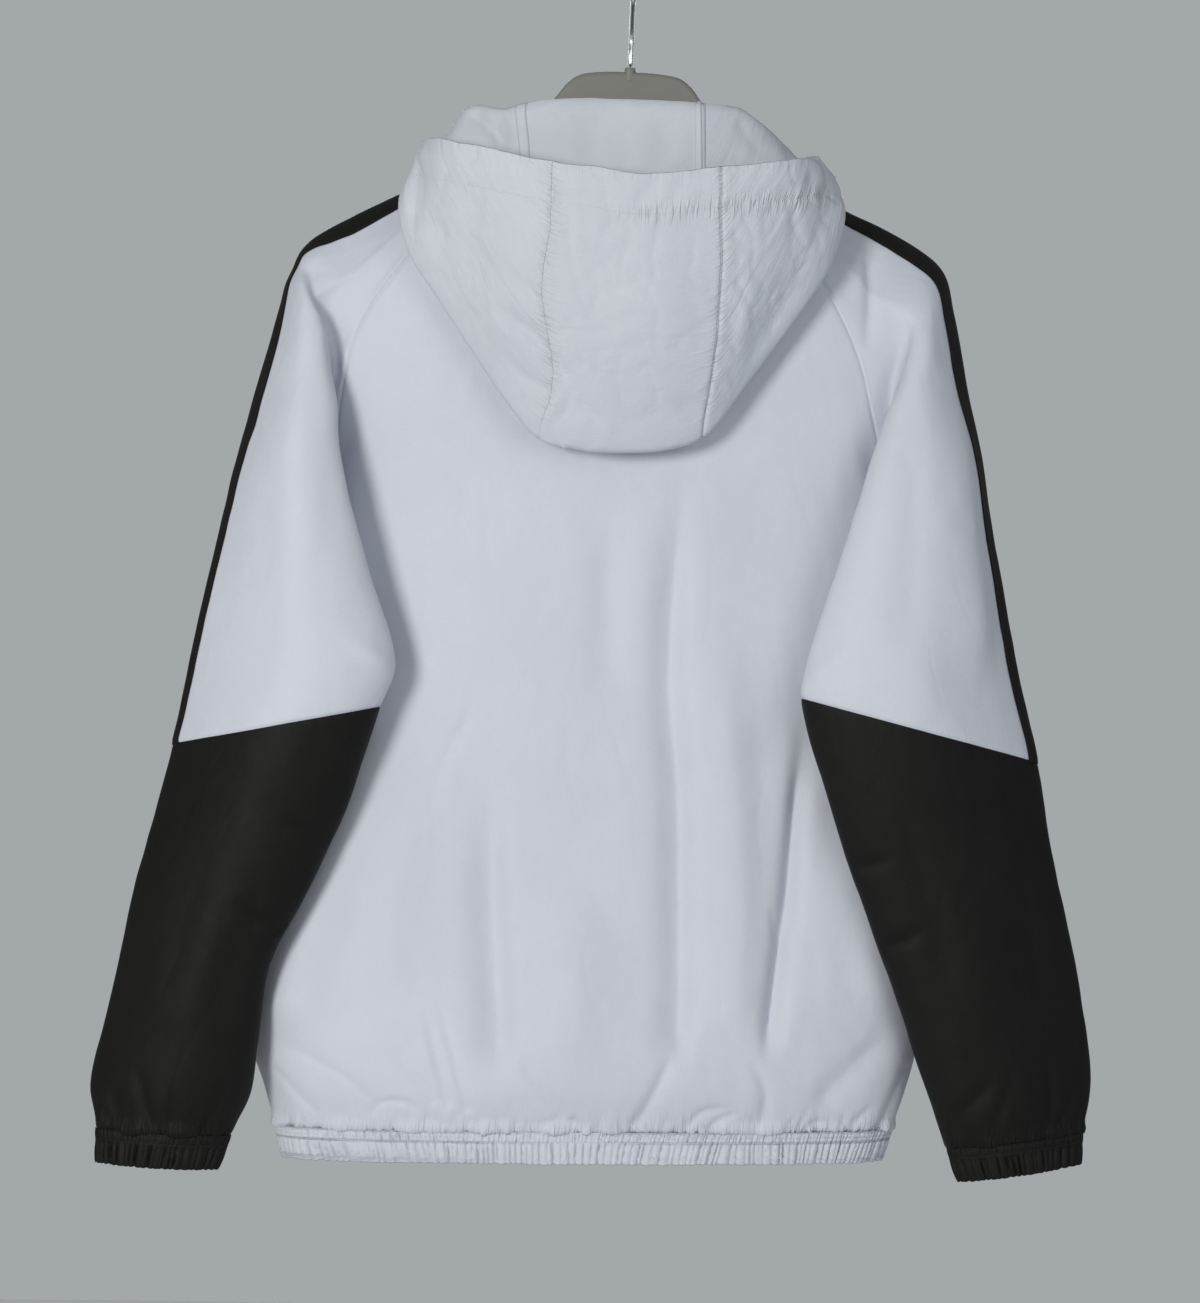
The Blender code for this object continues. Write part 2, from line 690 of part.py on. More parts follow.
def hood_section(index, side_name, ring):
    side = SIDES[side_name]
    shape = HOOD_CENTRE if index == 0 else HOOD_OUTLINE[side_name][index - 1]
    outline = dict(zip(HOOD_COLUMNS, shape))
    depth = table(HOOD_DEPTH_COLUMNS, HOOD_DEPTH)[index]
    mirror = 1 if index == 0 else side
    length = np.append(0, np.linalg.norm(np.diff(ring, axis=0), axis=1).cumsum())
    place = depth["neck"] * length[-1]
    neck = np.array([np.interp(place, length, ring[:, k]) for k in range(3)]) + (0, 0, NECK_GAP)
    if index == HOOD_LAST:
        neck[0] = side * ZIP_HALF
    fold = np.array([mirror * outline["fold_x"], depth["fold_y"], outline["fold_z"]])
    pouch = np.array([mirror * outline["pouch_x"], depth["pouch_y"], outline["pouch_z"]])
    edge = np.array([mirror * outline["edge_x"], depth["edge_y"], outline["edge_z"]])
    inner = lerp(fold, pouch, 0.5)
    inner[1] = depth["inner_y"]
    outer = lerp(pouch, edge, 0.5)
    outer[1] = depth["outer_y"]
    falling, climbing = ((b - a) / np.linalg.norm(b - a) for a, b in ((inner, pouch), (pouch, outer)))
    turn = np.array([0, HOOD_TURN * (1 - falling @ climbing) / 2, 0])
    return [
        neck,
        lerp(neck, fold, 0.45) + turn * 0.5 + (0, 0, STAND_LIFT if index < HOOD_LAST else 0),
        fold,
        lerp(fold, inner, 0.25) - turn,
        inner,
        lerp(pouch, inner, 0.3) + turn,
        pouch,
        lerp(pouch, outer, 0.35) - turn,
        outer,
        lerp(edge, outer, 0.3) - turn * 0.3,
        edge,
    ]


def hood_surface():
    """Sections run across the hood, from the zip on the left round the back to the right."""
    rows = []
    for side_name in ("left", "right"):
        ring = neck_ring(side_name)
        order = range(HOOD_LAST, 0, -1) if side_name == "left" else range(HOOD_LAST + 1)
        rows += [extend(hood_section(index, side_name, ring)) for index in order]
    return Surface(rows)


def make_hood():
    surface = hood_surface()
    s = spread(HOOD_STEPS)
    reach = HOOD_LAST - HOOD_SEAM
    pieces = (
        ("hood_side_left", spread(HOOD_ROUND[::-1], 0), ("low",)),
        ("hood_center", spread((1,) * 2 * HOOD_SEAM, reach), ("top", "low")),
        ("hood_side_right", spread(HOOD_ROUND, HOOD_LAST + HOOD_SEAM), ("top",)),
    )
    for name, t, seams in pieces:
        outer, normal = surface.at(t, s), evened(surface.normal(t, s))
        pull_in(outer, ("start", *seams))
        if name.endswith("left"):
            outer[0, :, 0] = -(ZIP_HALF + GAP)
        if name.endswith("right"):
            outer[-1, :, 0] = ZIP_HALF + GAP
        wall(name, outer, normal, "shell")


# ---- Zip


def zip_path():
    """The zip's line from the hood's upper edge down to the hem, as points in the plane x = 0."""
    climb = hood_surface().at(np.array([2.0 * HOOD_LAST]), np.array([10.0, 8.0, 6.0, 4.0, 2.0, 1.0]))[0]
    front = front_surface("right").at(body_levels(), np.array([0.0]))[:, 0]
    hem = front[-1] - (0, 0, HEM_HEIGHT)
    points = np.concatenate([climb, front, hem[None]]) + (0, ZIP_PROUD, 0)
    points[:, 0] = 0
    return points


def make_zip_chain():
    path = zip_path()
    along = np.gradient(path, axis=0)
    out = np.stack([np.zeros(len(path)), -along[:, 2], along[:, 1]], axis=1)
    out /= np.linalg.norm(out, axis=1, keepdims=True)
    columns = [path + (x, 0, 0) for x in (-ZIP_HALF, 0, ZIP_HALF)]
    wall("zip_chain", np.stack(columns, axis=1), np.repeat(out[:, None], 3, axis=1), "zip")


def slider_frame():
    """The slider's place on the zip: its origin, and its axes across, outwards and along."""
    path = zip_path()
    order = np.argsort(path[:, 2])
    y = np.interp(SLIDER_Z, path[order, 2], path[order, 1])
    low, high = (np.interp(SLIDER_Z + step, path[order, 2], path[order, 1]) for step in (-9, 9))
    lean = math.atan2(high - low, 18)
    outwards = Vector((0, math.cos(lean), -math.sin(lean)))
    along = Vector((0, math.sin(lean), math.cos(lean)))
    origin = Vector((0, y, SLIDER_Z)) + outwards * GAP
    frame = Matrix((Vector((1, 0, 0)), outwards, along)).transposed().to_4x4()
    return Matrix.Translation(origin) @ frame


def add_prism(bm, outline, half_width, axis="x"):
    """Extrudes a closed outline of (a, b) points to both sides of its plane."""
    sides = []
    for level in (-half_width, half_width):
        if axis == "x":
            sides.append([bm.verts.new((level, a, b)) for a, b in outline])
        else:
            sides.append([bm.verts.new((a, level, b)) for a, b in outline])
    low, high = sides
    bm.faces.new(low)
    bm.faces.new(high[::-1])
    for i in range(len(outline)):
        j = (i + 1) % len(outline)
        bm.faces.new((low[i], high[i], high[j], low[j]))


def add_frame(bm, outer, hole, half_width, axis):
    """A prism with a hole; both outlines have the same number of points."""
    def place(level, a, b):
        return (level, a, b) if axis == "x" else (a, level, b)

    rings = [[bm.verts.new(place(level, a, b)) for a, b in outline]
             for level in (-half_width, half_width) for outline in (outer, hole)]
    low_out, low_in, high_out, high_in = rings
    count = len(outer)
    for i in range(count):
        j = (i + 1) % count
        bm.faces.new((low_out[i], low_out[j], low_in[j], low_in[i]))
        bm.faces.new((high_out[i], high_in[i], high_in[j], high_out[j]))
        bm.faces.new((low_out[i], high_out[i], high_out[j], low_out[j]))
        bm.faces.new((low_in[i], low_in[j], high_in[j], high_in[i]))


def circle(centre, radius, count=12):
    angles = [2 * math.pi * i / count for i in range(count)]
    return [(centre[0] + radius * math.cos(a), centre[1] + radius * math.sin(a)) for a in angles]


def make_slider():
    """The slider's plate with the round bail that its pull hangs in."""
    plate = bmesh.new()
    half_length, half_width = SLIDER_LENGTH / 2, SLIDER_WIDTH / 2
    shoulder, waist = half_length - 2.5, half_width - 1.8
    outline = ((-half_width, shoulder), (-waist, half_length), (waist, half_length),
               (half_width, shoulder), (waist, -half_length), (-waist, -half_length))
    add_prism(plate, outline, SLIDER_THICK / 2, "y")
    bmesh.ops.translate(plate, vec=(0, SLIDER_THICK / 2, 0), verts=plate.verts)
    frame = slider_frame()
    bmesh.ops.transform(plate, matrix=Matrix.Scale(MM, 4) @ frame, verts=plate.verts)
    slider = add_object("zip_slider", plate, "metal", 30)

    bail = bmesh.new()
    centre = (BAIL_OUT, BAIL_UP)
    add_frame(bail, circle(centre, BAIL_HOLE + BAIL_WALL), circle(centre, BAIL_HOLE),
              BAIL_WIDTH / 2, "x")
    bmesh.ops.transform(bail, matrix=Matrix.Scale(MM, 4) @ frame, verts=bail.verts)
    helper = add_object("bail_helper", bail, "metal", 30)
    helper.hide_render = True
    helper.display_type = "WIRE"
    join = slider.modifiers.new("bail", "BOOLEAN")
    join.operation = "UNION"
    join.object = helper


def make_pull():
    """The pull hangs straight down from its bar, whose axis is the object's origin."""
    frame = slider_frame()
    axis = frame @ Vector((0, BAIL_OUT, BAIL_UP))
    half = PULL_WIDTH / 2
    slot = BAIL_WIDTH / 2 + 0.4
    top, low = PULL_BAR / 2, -PULL_LENGTH
    outer = ((-half, top), (half, top), (half, low + 3), (half - 2, low), (-half + 2, low),
             (-half, low + 3))
    hole = ((-slot, -top), (slot, -top), (slot, -PULL_SLOT), (0.5, -PULL_SLOT), (-0.5, -PULL_SLOT),
            (-slot, -PULL_SLOT))
    bm = bmesh.new()
    add_frame(bm, outer, hole, PULL_BAR / 2, "y")
    bmesh.ops.scale(bm, vec=(MM, MM, MM), verts=bm.verts)
    pull = add_object("zip_pull", bm, "metal", 30)
    pull.location = axis * MM


# ---- Hanger


def shoulder_line(side_name):
    """The shoulder's inner ridge, where the hanger's arm carries the cloth."""
    side = SIDES[side_name]
    surface = sleeve_surface(side_name)
    t = np.arange(5.0)
    s = np.array([float(TOP_KEY)])
    ridge = surface.at(t, s)[:, 0]
    step = np.gradient(ridge, axis=0)
    up = np.stack([-side * step[:, 2], np.zeros(5), side * step[:, 0]], axis=1) * side
    up *= np.sign(up[:, 2:])
    up /= np.linalg.norm(up, axis=1, keepdims=True)
    inside = ridge - up * (CLOTH + HANGER_SLACK)
    inside[-1] = lerp(inside[-2], inside[-1], HANGER_TIP) - (0, 0, HANGER_NOD)
    return [(abs(x), z) for x, _, z in inside]


def make_hanger():
    halves = {}
    for side_name in SIDES:
        halves[side_name] = [*HANGER_HUMP[1:], *shoulder_line(side_name), *HANGER_LOWER[:-1]]
    outline = [HANGER_HUMP[0], *halves["right"], HANGER_LOWER[-1]]
    outline += [(-x, z) for x, z in halves["left"][::-1]]
    bm = bmesh.new()
    add_prism(bm, outline, HANGER_THICK / 2, "y")
    bmesh.ops.scale(bm, vec=(MM, MM, MM), verts=bm.verts)
    hanger = add_object("hanger", bm, "hanger", 60)
    bevel = hanger.modifiers.new("edges", "BEVEL")
    bevel.width = HANGER_BEVEL * MM
    bevel.segments = 2
    bevel.limit_method = "ANGLE"
    bevel.angle_limit = math.radians(60)
    boss = bmesh.new()
    bmesh.ops.create_cone(
        boss, cap_ends=True, segments=16, radius1=BOSS_RADIUS * MM, radius2=BOSS_RADIUS * MM,
        depth=10 * MM, matrix=Matrix.Translation((0, 0, (BOSS_TOP - 5) * MM)),
    )
    helper = add_object("boss_helper", boss, "hanger", 60)
    helper.hide_render = True
    helper.display_type = "WIRE"
    join = hanger.modifiers.new("boss", "BOOLEAN")
    join.operation = "UNION"
    join.object = helper


def hook_route():
    """The wire's centre line in the plane x = 0: shank, bend, and the loop round the rail."""
    top = -HOOK_RADIUS + HOOK_WIRE / 2
    foot = math.radians(-50)
    points = [(0, BOSS_TOP + GAP), (0, (BOSS_TOP + HOOK_SHANK_TOP) / 2), (0, HOOK_SHANK_TOP)]
    for step in range(15):
        angle = foot + math.radians(HOOK_OPEN) * step / 14
        points.append((-HOOK_RADIUS * math.cos(angle), top + HOOK_RADIUS * math.sin(angle)))
    return points


def make_hook():
    """A round wire on a smooth curve."""
    keys = extend([(0, y, z) for y, z in hook_route()])
    route = smooth_curve(keys, np.linspace(0, len(keys) - 3, 52))
    curve = bpy.data.curves.new("hook", "CURVE")
    curve.dimensions = "3D"
    curve.bevel_depth = HOOK_WIRE / 2 * MM
    curve.bevel_resolution = 3
    curve.use_fill_caps = True
    spline = curve.splines.new("POLY")
    spline.points.add(len(route) - 1)
    for point, place in zip(spline.points, route):
        point.co = (*place * MM, 1)
    curve.materials.append(material("metal"))
    made = bpy.data.objects.new("hook", curve)
    bpy.context.collection.objects.link(made)


clear_scene()
make_back()
make_hem_band()
for side in SIDES:
    make_front(side)
    make_sleeve(side)
    make_cuff(side)
    make_tape(side)
make_hood()
make_zip_chain()
make_slider()
make_pull()
make_hanger()
make_hook()
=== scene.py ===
# A hooded raglan windbreaker on its hanger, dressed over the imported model.
# Shapes are worked out in millimetres: x across the shoulders, -y behind the wearer's back,
# z up from the hanger's hook. They turn into metres when a mesh is made.
import itertools
import math
import random

import bmesh
import bpy
import numpy as np
from mathutils import Matrix, Vector


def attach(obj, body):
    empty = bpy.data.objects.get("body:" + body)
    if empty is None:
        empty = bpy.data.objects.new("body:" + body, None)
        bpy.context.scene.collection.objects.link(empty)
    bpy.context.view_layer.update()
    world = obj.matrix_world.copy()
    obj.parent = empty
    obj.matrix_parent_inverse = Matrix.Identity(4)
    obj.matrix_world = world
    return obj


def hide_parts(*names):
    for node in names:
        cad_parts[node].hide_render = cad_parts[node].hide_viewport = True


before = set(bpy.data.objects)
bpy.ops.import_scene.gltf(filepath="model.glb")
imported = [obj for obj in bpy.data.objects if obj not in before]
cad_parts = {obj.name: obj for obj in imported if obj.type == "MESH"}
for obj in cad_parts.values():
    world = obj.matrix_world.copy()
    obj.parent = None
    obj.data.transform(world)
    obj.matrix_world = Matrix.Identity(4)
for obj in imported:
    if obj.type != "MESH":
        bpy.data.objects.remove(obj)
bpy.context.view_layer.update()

mm = 0.001
sides = {"right": 1, "left": -1}
clothGap = 0.3  # between pieces that are sewn together
rimTurns = (55, 125)  # where a cloth's rounded edge has its lines, in degrees
pieces = {}


# Curves and surfaces through given points

def lerp(a, b, share):
    return np.asarray(a, float) * (1 - share) + np.asarray(b, float) * share


def towards(a, b, distance):
    step = b - a
    return a + step / np.linalg.norm(step) * distance


def smoothStep(value, low, high):
    share = np.clip((np.asarray(value, float) - low) / (high - low), 0, 1)
    return share * share * (3 - 2 * share)


def smoothCurve(points, at):
    # passes through points[1:-1]; at counts from the first of those
    points = np.asarray(points, float)
    at = np.clip(np.asarray(at, float), 0, len(points) - 3)
    first = np.minimum(at.astype(int), len(points) - 4)
    share = (at - first).reshape(-1, *[1] * (points.ndim - 1))
    p0, p1, p2, p3 = (points[first + step] for step in range(4))
    d1, d2, d3 = (
        np.maximum(np.sqrt(np.linalg.norm(b - a, axis=-1, keepdims=True)), 1e-3)
        for a, b in ((p0, p1), (p1, p2), (p2, p3))
    )
    m1 = d2 * ((p1 - p0) / d1 - (p2 - p0) / (d1 + d2)) + (p2 - p1)
    m2 = d2 * ((p3 - p2) / d3 - (p3 - p1) / (d2 + d3)) + (p2 - p1)
    square, cube = share**2, share**3
    return (
        (2 * cube - 3 * square + 1) * p1
        + (cube - 2 * square + share) * m1
        + (3 * square - 2 * cube) * p2
        + (cube - square) * m2
    )


def extend(points):
    points = np.asarray(points, float)
    head = 2 * points[:1] - points[1:2]
    tail = 2 * points[-1:] - points[-2:-1]
    return np.concatenate([head, points, tail])


class ClothSurface:
    # rows of points, each with one neighbour more at both ends
    def __init__(self, rows):
        self.rows = np.asarray(rows, float)

    def at(self, t, s):
        sections = np.stack([smoothCurve(row, s) for row in self.rows])
        return smoothCurve(extend(sections), t)

    def normal(self, t, s):
        small = 1e-3
        lastT, lastS = len(self.rows) - 1, self.rows.shape[1] - 3
        t0, t1 = np.clip(t - small, 0, lastT), np.clip(t + small, 0, lastT)
        s0, s1 = np.clip(s - small, 0, lastS), np.clip(s + small, 0, lastS)
        cross = np.cross(self.at(t1, s) - self.at(t0, s), self.at(t, s1) - self.at(t, s0))
        return cross / np.maximum(np.linalg.norm(cross, axis=-1, keepdims=True), 1e-12)


sewnSteps = (0.7, 1.5)  # the closer stations beside a seam


def runLength(line):
    # how far each point lies along a line
    return np.append(0, np.linalg.norm(np.diff(line, axis=0), axis=-1).cumsum())


def stations(surface, across, at, first, last, pitch, crowd=(1, 1)):
    # evenly spaced along t or s in real length, with closer ones beside a seam
    fine = np.linspace(first, last, 600)
    at = np.asarray(at, float)
    grid = surface.at(fine, at) if across == "t" else surface.at(at, fine).swapaxes(0, 1)
    length = np.append(0, np.linalg.norm(np.diff(grid, axis=0), axis=2).mean(axis=1).cumsum())
    count = max(2, round(length[-1] / pitch))
    places = list(np.linspace(0, length[-1], count + 1))
    if crowd[0]:
        places += sewnSteps
    if crowd[1]:
        places += [length[-1] - step for step in sewnSteps]
    return np.interp(sorted(places), length, fine)


def evened(normal, passes):
    normal = normal.copy()
    for _ in range(passes):
        around = normal[:-2, 1:-1] + normal[2:, 1:-1] + normal[1:-1, :-2] + normal[1:-1, 2:]
        normal[1:-1, 1:-1] += around / 2
        normal /= np.linalg.norm(normal, axis=-1, keepdims=True)
    return normal


# Creases, gathers and soft unevenness

def softNoise(points, size, seed):
    place = points / np.asarray(size, float) + seed * 17.31
    cell = np.floor(place).astype(int)
    share = place - cell
    share = share * share * (3 - 2 * share)
    total = np.zeros(points.shape[:-1])
    for corner in itertools.product((0, 1), repeat=3):
        value = np.sin((cell + corner) @ np.array([127.1, 311.7, 74.7])) * 43758.5453
        value = 2 * (value - np.floor(value)) - 1
        total += value * np.prod(np.where(corner, share, 1 - share), axis=-1)
    return total


def creaseHeight(points, creases):
    # each crease: path of (x, z) from its top, depth (a trough is under zero), width to its left
    # and right, how crisp it is, and the shares of its length that it fades over at either end
    flat = points[..., (0, 2)]
    height = np.zeros(points.shape[:-1])
    for path, depth, left, right, crisp, fadeTop, fadeLow in creases:
        line = smoothCurve(extend(path), np.linspace(0, len(path) - 1, 7 * len(path)))
        reach = 3.2 * max(left, right)
        near = np.all((flat > line.min(axis=0) - reach) & (flat < line.max(axis=0) + reach), axis=-1)
        if not near.any():
            continue
        step = np.diff(line, axis=0)
        offset = flat[near][:, None] - line[:-1]
        share = np.clip((offset * step).sum(-1) / (step**2).sum(-1), 0, 1)
        away = offset - share[..., None] * step
        distance = np.linalg.norm(away, axis=-1)
        pick = np.arange(len(offset)), distance.argmin(axis=1)
        turn = (step[:, 0] * away[..., 1] - step[:, 1] * away[..., 0])[pick]
        along = (pick[1] + share[pick]) / len(step)
        reach = distance[pick] / np.where(turn > 0, right, left)
        profile = (1 - crisp) * np.exp(-reach**2) + crisp * np.exp(-1.5 * reach)
        fade = smoothStep(along, -1e-6, max(fadeTop, 1e-5)) * smoothStep(1 - along, -1e-6, max(fadeLow, 1e-5))
        height[near] += depth * profile * fade
    return height


def gatherHeight(along, above, gathers, side=0):
    # short uneven troughs that start at a gathered seam
    dice = random.Random(gathers["seed"] + side)
    spacing, reach = gathers["spacing"], gathers["reach"]
    place, last = gathers.get("span", (0, along.max()))
    height = np.zeros(above.shape)
    close = above < reach
    u, v = along[close], above[close]
    total = np.zeros(len(u))
    while place < last:
        place += spacing * dice.uniform(0.5, 1.5)
        length = reach * dice.uniform(0.3, 1) ** 1.5
        width = spacing * dice.uniform(0.22, 0.42)
        slant = dice.uniform(-0.4, 0.4)
        size = gathers["depth"] * dice.uniform(0.4, 1) * dice.choice((-1, -1, -1, 0.7))
        away = (u - place - slant * v) / (width * (1 + 0.8 * v / reach))
        total += size * np.exp(-away**2) * np.clip(1 - v / length, 0, 1) ** 1.3
    height[close] = total
    return height


def unevenness(points, seed, broad=1.0, fine=0.3):
    height = broad * softNoise(points, (55, 60, 120), seed)
    height += 0.45 * broad * softNoise(points, (26, 30, 48), seed + 1)
    return height + fine * softNoise(points, (9, 12, 14), seed + 2)


def edgeDistance(points, edge):
    # distance from a grid's edge along its rows or columns
    axis = 0 if edge in ("top", "low") else 1
    fromEnd = edge in ("low", "end")
    step = np.linalg.norm(np.diff(points, axis=axis), axis=-1)
    if fromEnd:
        step = np.flip(step, axis=axis)
    total = step.cumsum(axis=axis)
    total = np.concatenate([np.zeros_like(total.take([0], axis=axis)), total], axis=axis)
    return np.flip(total, axis=axis) if fromEnd else total


def tuckSeams(points, normal, edges, depth=1.0, width=1.5):
    # cloth dips where it is sewn down
    for edge in edges:
        distance = edgeDistance(points, edge)
        points = points - normal * (depth * np.exp(-((distance / width) ** 2)))[..., None]
    return points


def pullIn(points, edges, distance):
    for edge in edges:
        row, following = {
            "top": (np.s_[0], np.s_[1]),
            "low": (np.s_[-1], np.s_[-2]),
            "start": (np.s_[:, 0], np.s_[:, 1]),
            "end": (np.s_[:, -1], np.s_[:, -2]),
        }[edge]
        step = points[following] - points[row]
        size = np.linalg.norm(step, axis=-1, keepdims=True)
        points[row] += step / size * np.minimum(distance, 0.6 * size)


# A thin closed cloth with rounded edges

def clothEdges(rows, columns, joined):
    # the grid's open edges as loops that run the way its faces turn
    top = [(0, j) for j in range(columns)]
    low = [(rows - 1, j) for j in range(columns - 1, -1, -1)]
    if joined == 0:
        return [top[:-1], low[1:]]
    if joined >= rows:
        right = [(i, columns - 1) for i in range(1, rows - 1)]
        left = [(i, 0) for i in range(rows - 2, 0, -1)]
        return [top + right + low + left]
    right = [(i, columns - 1) for i in range(1, joined)]
    left = [(i, 0) for i in range(joined - 1, 0, -1)]
    return [top + right + [(joined, 0)] + left, low[1:]]


def edgeOutward(points, i, j, joined):
    rows, columns = points.shape[:2]
    total = np.zeros(3)
    if i == 0:
        total += points[0, j] - points[1, j]
    if i == rows - 1:
        total += points[-1, j] - points[-2, j]
    if i < joined and j == 0:
        total += points[i, 0] - points[i, 1]
    if i < joined and j == columns - 1:
        total += points[i, -1] - points[i, -2]
    if i == joined and 0 < joined < rows:
        total += points[i, j] - points[i + 1, j]
    return total / max(np.linalg.norm(total), 1e-9)


def clothUv(points, edge):
    # metres along the cloth, from its middle column and one of its edges
    across = np.linalg.norm(np.diff(points, axis=1), axis=-1).cumsum(axis=1)
    across = np.concatenate([np.zeros((len(points), 1)), across], axis=1)
    across -= across[:, [points.shape[1] // 2]]
    return np.stack([across, edgeDistance(points, edge)], axis=-1) * mm


def puckerGrid(points, strengths):
    # how much the cloth puckers across its level seams and across its upright ones
    grid = np.zeros((*points.shape[:2], 3))
    for edge, (strength, reach) in strengths.items():
        near = strength * np.exp(-edgeDistance(points, edge) / reach)
        across = 0 if edge in ("top", "low") else 1
        grid[..., across] = np.maximum(grid[..., across], near)
    return grid


def clothShell(name, outer, normal, thickness, finish, joined=None, flat=None, pucker=None, edge="low"):
    # from the joined row down, the grid's last column lies on its first, as in a tube
    rows, columns = outer.shape[:2]
    joined = rows if joined is None else joined
    inner = outer - normal * thickness
    plain = np.arange(rows * columns).reshape(rows, columns)
    number = plain.copy()
    number[joined:, -1] = number[joined:, 0]
    uv = clothUv(outer if flat is None else flat, edge).reshape(-1, 2)
    count = rows * columns
    corners = (np.s_[:-1, :-1], np.s_[:-1, 1:], np.s_[1:, 1:], np.s_[1:, :-1])
    front, frontPlain = (
        np.stack([grid[corner] for corner in corners], axis=-1).reshape(-1, 4) for grid in (number, plain)
    )
    frontUv = uv[frontPlain]
    faces, faceUv = [front, front[:, ::-1] + count], [frontUv, frontUv[:, ::-1]]
    points = [outer.reshape(-1, 3), inner.reshape(-1, 3)]
    total = 2 * count
    for loop in clothEdges(rows, columns, joined):
        i, j = np.array(loop).T
        top, low = outer[i, j], inner[i, j]
        middle, half = (top + low) / 2, (top - low) / 2
        away = np.array([edgeOutward(outer, a, b, joined) for a, b in loop])
        away *= np.linalg.norm(half, axis=1, keepdims=True)
        rings = [number[i, j]]
        for turn in rimTurns:
            angle = math.radians(turn)
            points.append(middle + half * math.cos(angle) + away * math.sin(angle))
            rings.append(total + np.arange(len(loop)))
            total += len(loop)
        rings.append(number[i, j] + count)
        here, ahead = uv[plain[i, j]], uv[np.roll(plain[i, j], -1)]
        for above, below in zip(rings, rings[1:]):
            faces.append(np.stack([np.roll(above, -1), above, below, np.roll(below, -1)], axis=-1))
            faceUv.append(np.stack([ahead, here, here, ahead], axis=1))
    points, faces, faceUv = np.concatenate(points), np.concatenate(faces), np.concatenate(faceUv)
    i, j = rows // 2, columns // 2
    if np.cross(outer[i, j + 1] - outer[i, j], outer[i + 1, j] - outer[i, j]) @ normal[i, j] < 0:
        faces, faceUv = faces[:, ::-1], faceUv[:, ::-1]
    used, faces = np.unique(faces, return_inverse=True)
    mesh = bpy.data.meshes.new(name)
    mesh.from_pydata((points[used] * mm).tolist(), [], faces.reshape(-1, 4).tolist())
    mesh.uv_layers.new(name="cloth").data.foreach_set("uv", np.ascontiguousarray(faceUv).ravel())
    puckered = np.zeros((len(points), 3), np.float32)
    if pucker is not None:
        puckered[: 2 * count] = np.tile(pucker.reshape(-1, 3), (2, 1))
    layer = mesh.attributes.new("pucker", "FLOAT_VECTOR", "POINT")
    layer.data.foreach_set("vector", puckered[used].ravel())
    addPiece(name, mesh, finish, 70)


def putIn(name, data):
    made = bpy.data.objects.new(name, data)
    bpy.context.collection.objects.link(made)
    return made


def addPiece(name, mesh, finish, sharp=None):
    # sharp is the angle in degrees from which an edge stays sharp
    if sharp:
        mesh.shade_smooth()
        mesh.set_sharp_from_angle(angle=math.radians(sharp))
    mesh.materials.append(finish)
    pieces[name] = putIn(name, mesh)
    return pieces[name]


# Finishes: a Wire is a socket that sums can be written with

class Wire:
    def __init__(self, bench, socket):
        self.bench, self.socket = bench, socket

    def __add__(self, other):
        return self.bench.math("ADD", self, other)

    def __sub__(self, other):
        return self.bench.math("SUBTRACT", self, other)

    def __rsub__(self, other):
        return self.bench.math("SUBTRACT", other, self)

    def __mul__(self, other):
        return self.bench.math("MULTIPLY", self, other)

    __radd__ = __add__
    __rmul__ = __mul__


class Bench:
    # one material and its nodes
    def __init__(self, name, colour, roughness, metallic=0.0, **fixed):
        self.material = bpy.data.materials.new(name)
        self.material.use_nodes = True
        self.tree = self.material.node_tree
        self.shader = self.tree.nodes["Principled BSDF"]
        self.give("Base Color", (*colour, 1))
        self.give("Roughness", roughness)
        self.give("Metallic", metallic)
        for socket, value in fixed.items():
            self.give(socket.replace("_", " "), value)
        self.material.diffuse_color = (*colour, 1)

    def give(self, socket, value):
        self.set(self.shader.inputs[socket], value)

    def set(self, socket, value):
        if isinstance(value, Wire):
            self.tree.links.new(value.socket, socket)
        else:
            socket.default_value = value

    def add(self, kind, settings=None, sockets=None, output=0):
        node = self.tree.nodes.new(kind)
        for key, value in (settings or {}).items():
            setattr(node, key, value)
        for key, value in (sockets or {}).items():
            self.set(node.inputs[key], value)
        return Wire(self, node.outputs[output])

    def math(self, operation, *values):
        return self.add("ShaderNodeMath", {"operation": operation}, dict(enumerate(values)))

    def parts(self, vector):
        node = self.tree.nodes.new("ShaderNodeSeparateXYZ")
        self.set(node.inputs[0], vector)
        return [Wire(self, output) for output in node.outputs]

    def mix(self, low, high, factor):
        colours = {0: factor, 6: (*low, 1), 7: (*high, 1)}
        return self.add("ShaderNodeMix", {"data_type": "RGBA"}, colours, 2)

    def scaled(self, vector, factors):
        return self.add("ShaderNodeVectorMath", {"operation": "MULTIPLY"}, {0: vector, 1: factors})

    def noise(self, vector, scale, detail=2.0, roughness=0.5):
        sockets = {"Vector": vector, "Scale": scale, "Detail": detail, "Roughness": roughness}
        return self.add("ShaderNodeTexNoise", {"noise_dimensions": "3D"}, sockets)

    def ramp(self, value, low, high):
        return self.add("ShaderNodeMapRange", {"interpolation_type": "SMOOTHSTEP"},
                        {"Value": value, "From Min": low, "From Max": high})

    def crease(self, noise, width):
        # nothing on the line where a noise passes its middle, and one beside it
        return self.ramp(self.math("ABSOLUTE", noise - 0.5), 0.0, width)

    def bump(self, height, distance):
        self.give("Normal", self.add("ShaderNodeBump", None, {"Height": height, "Distance": distance}))


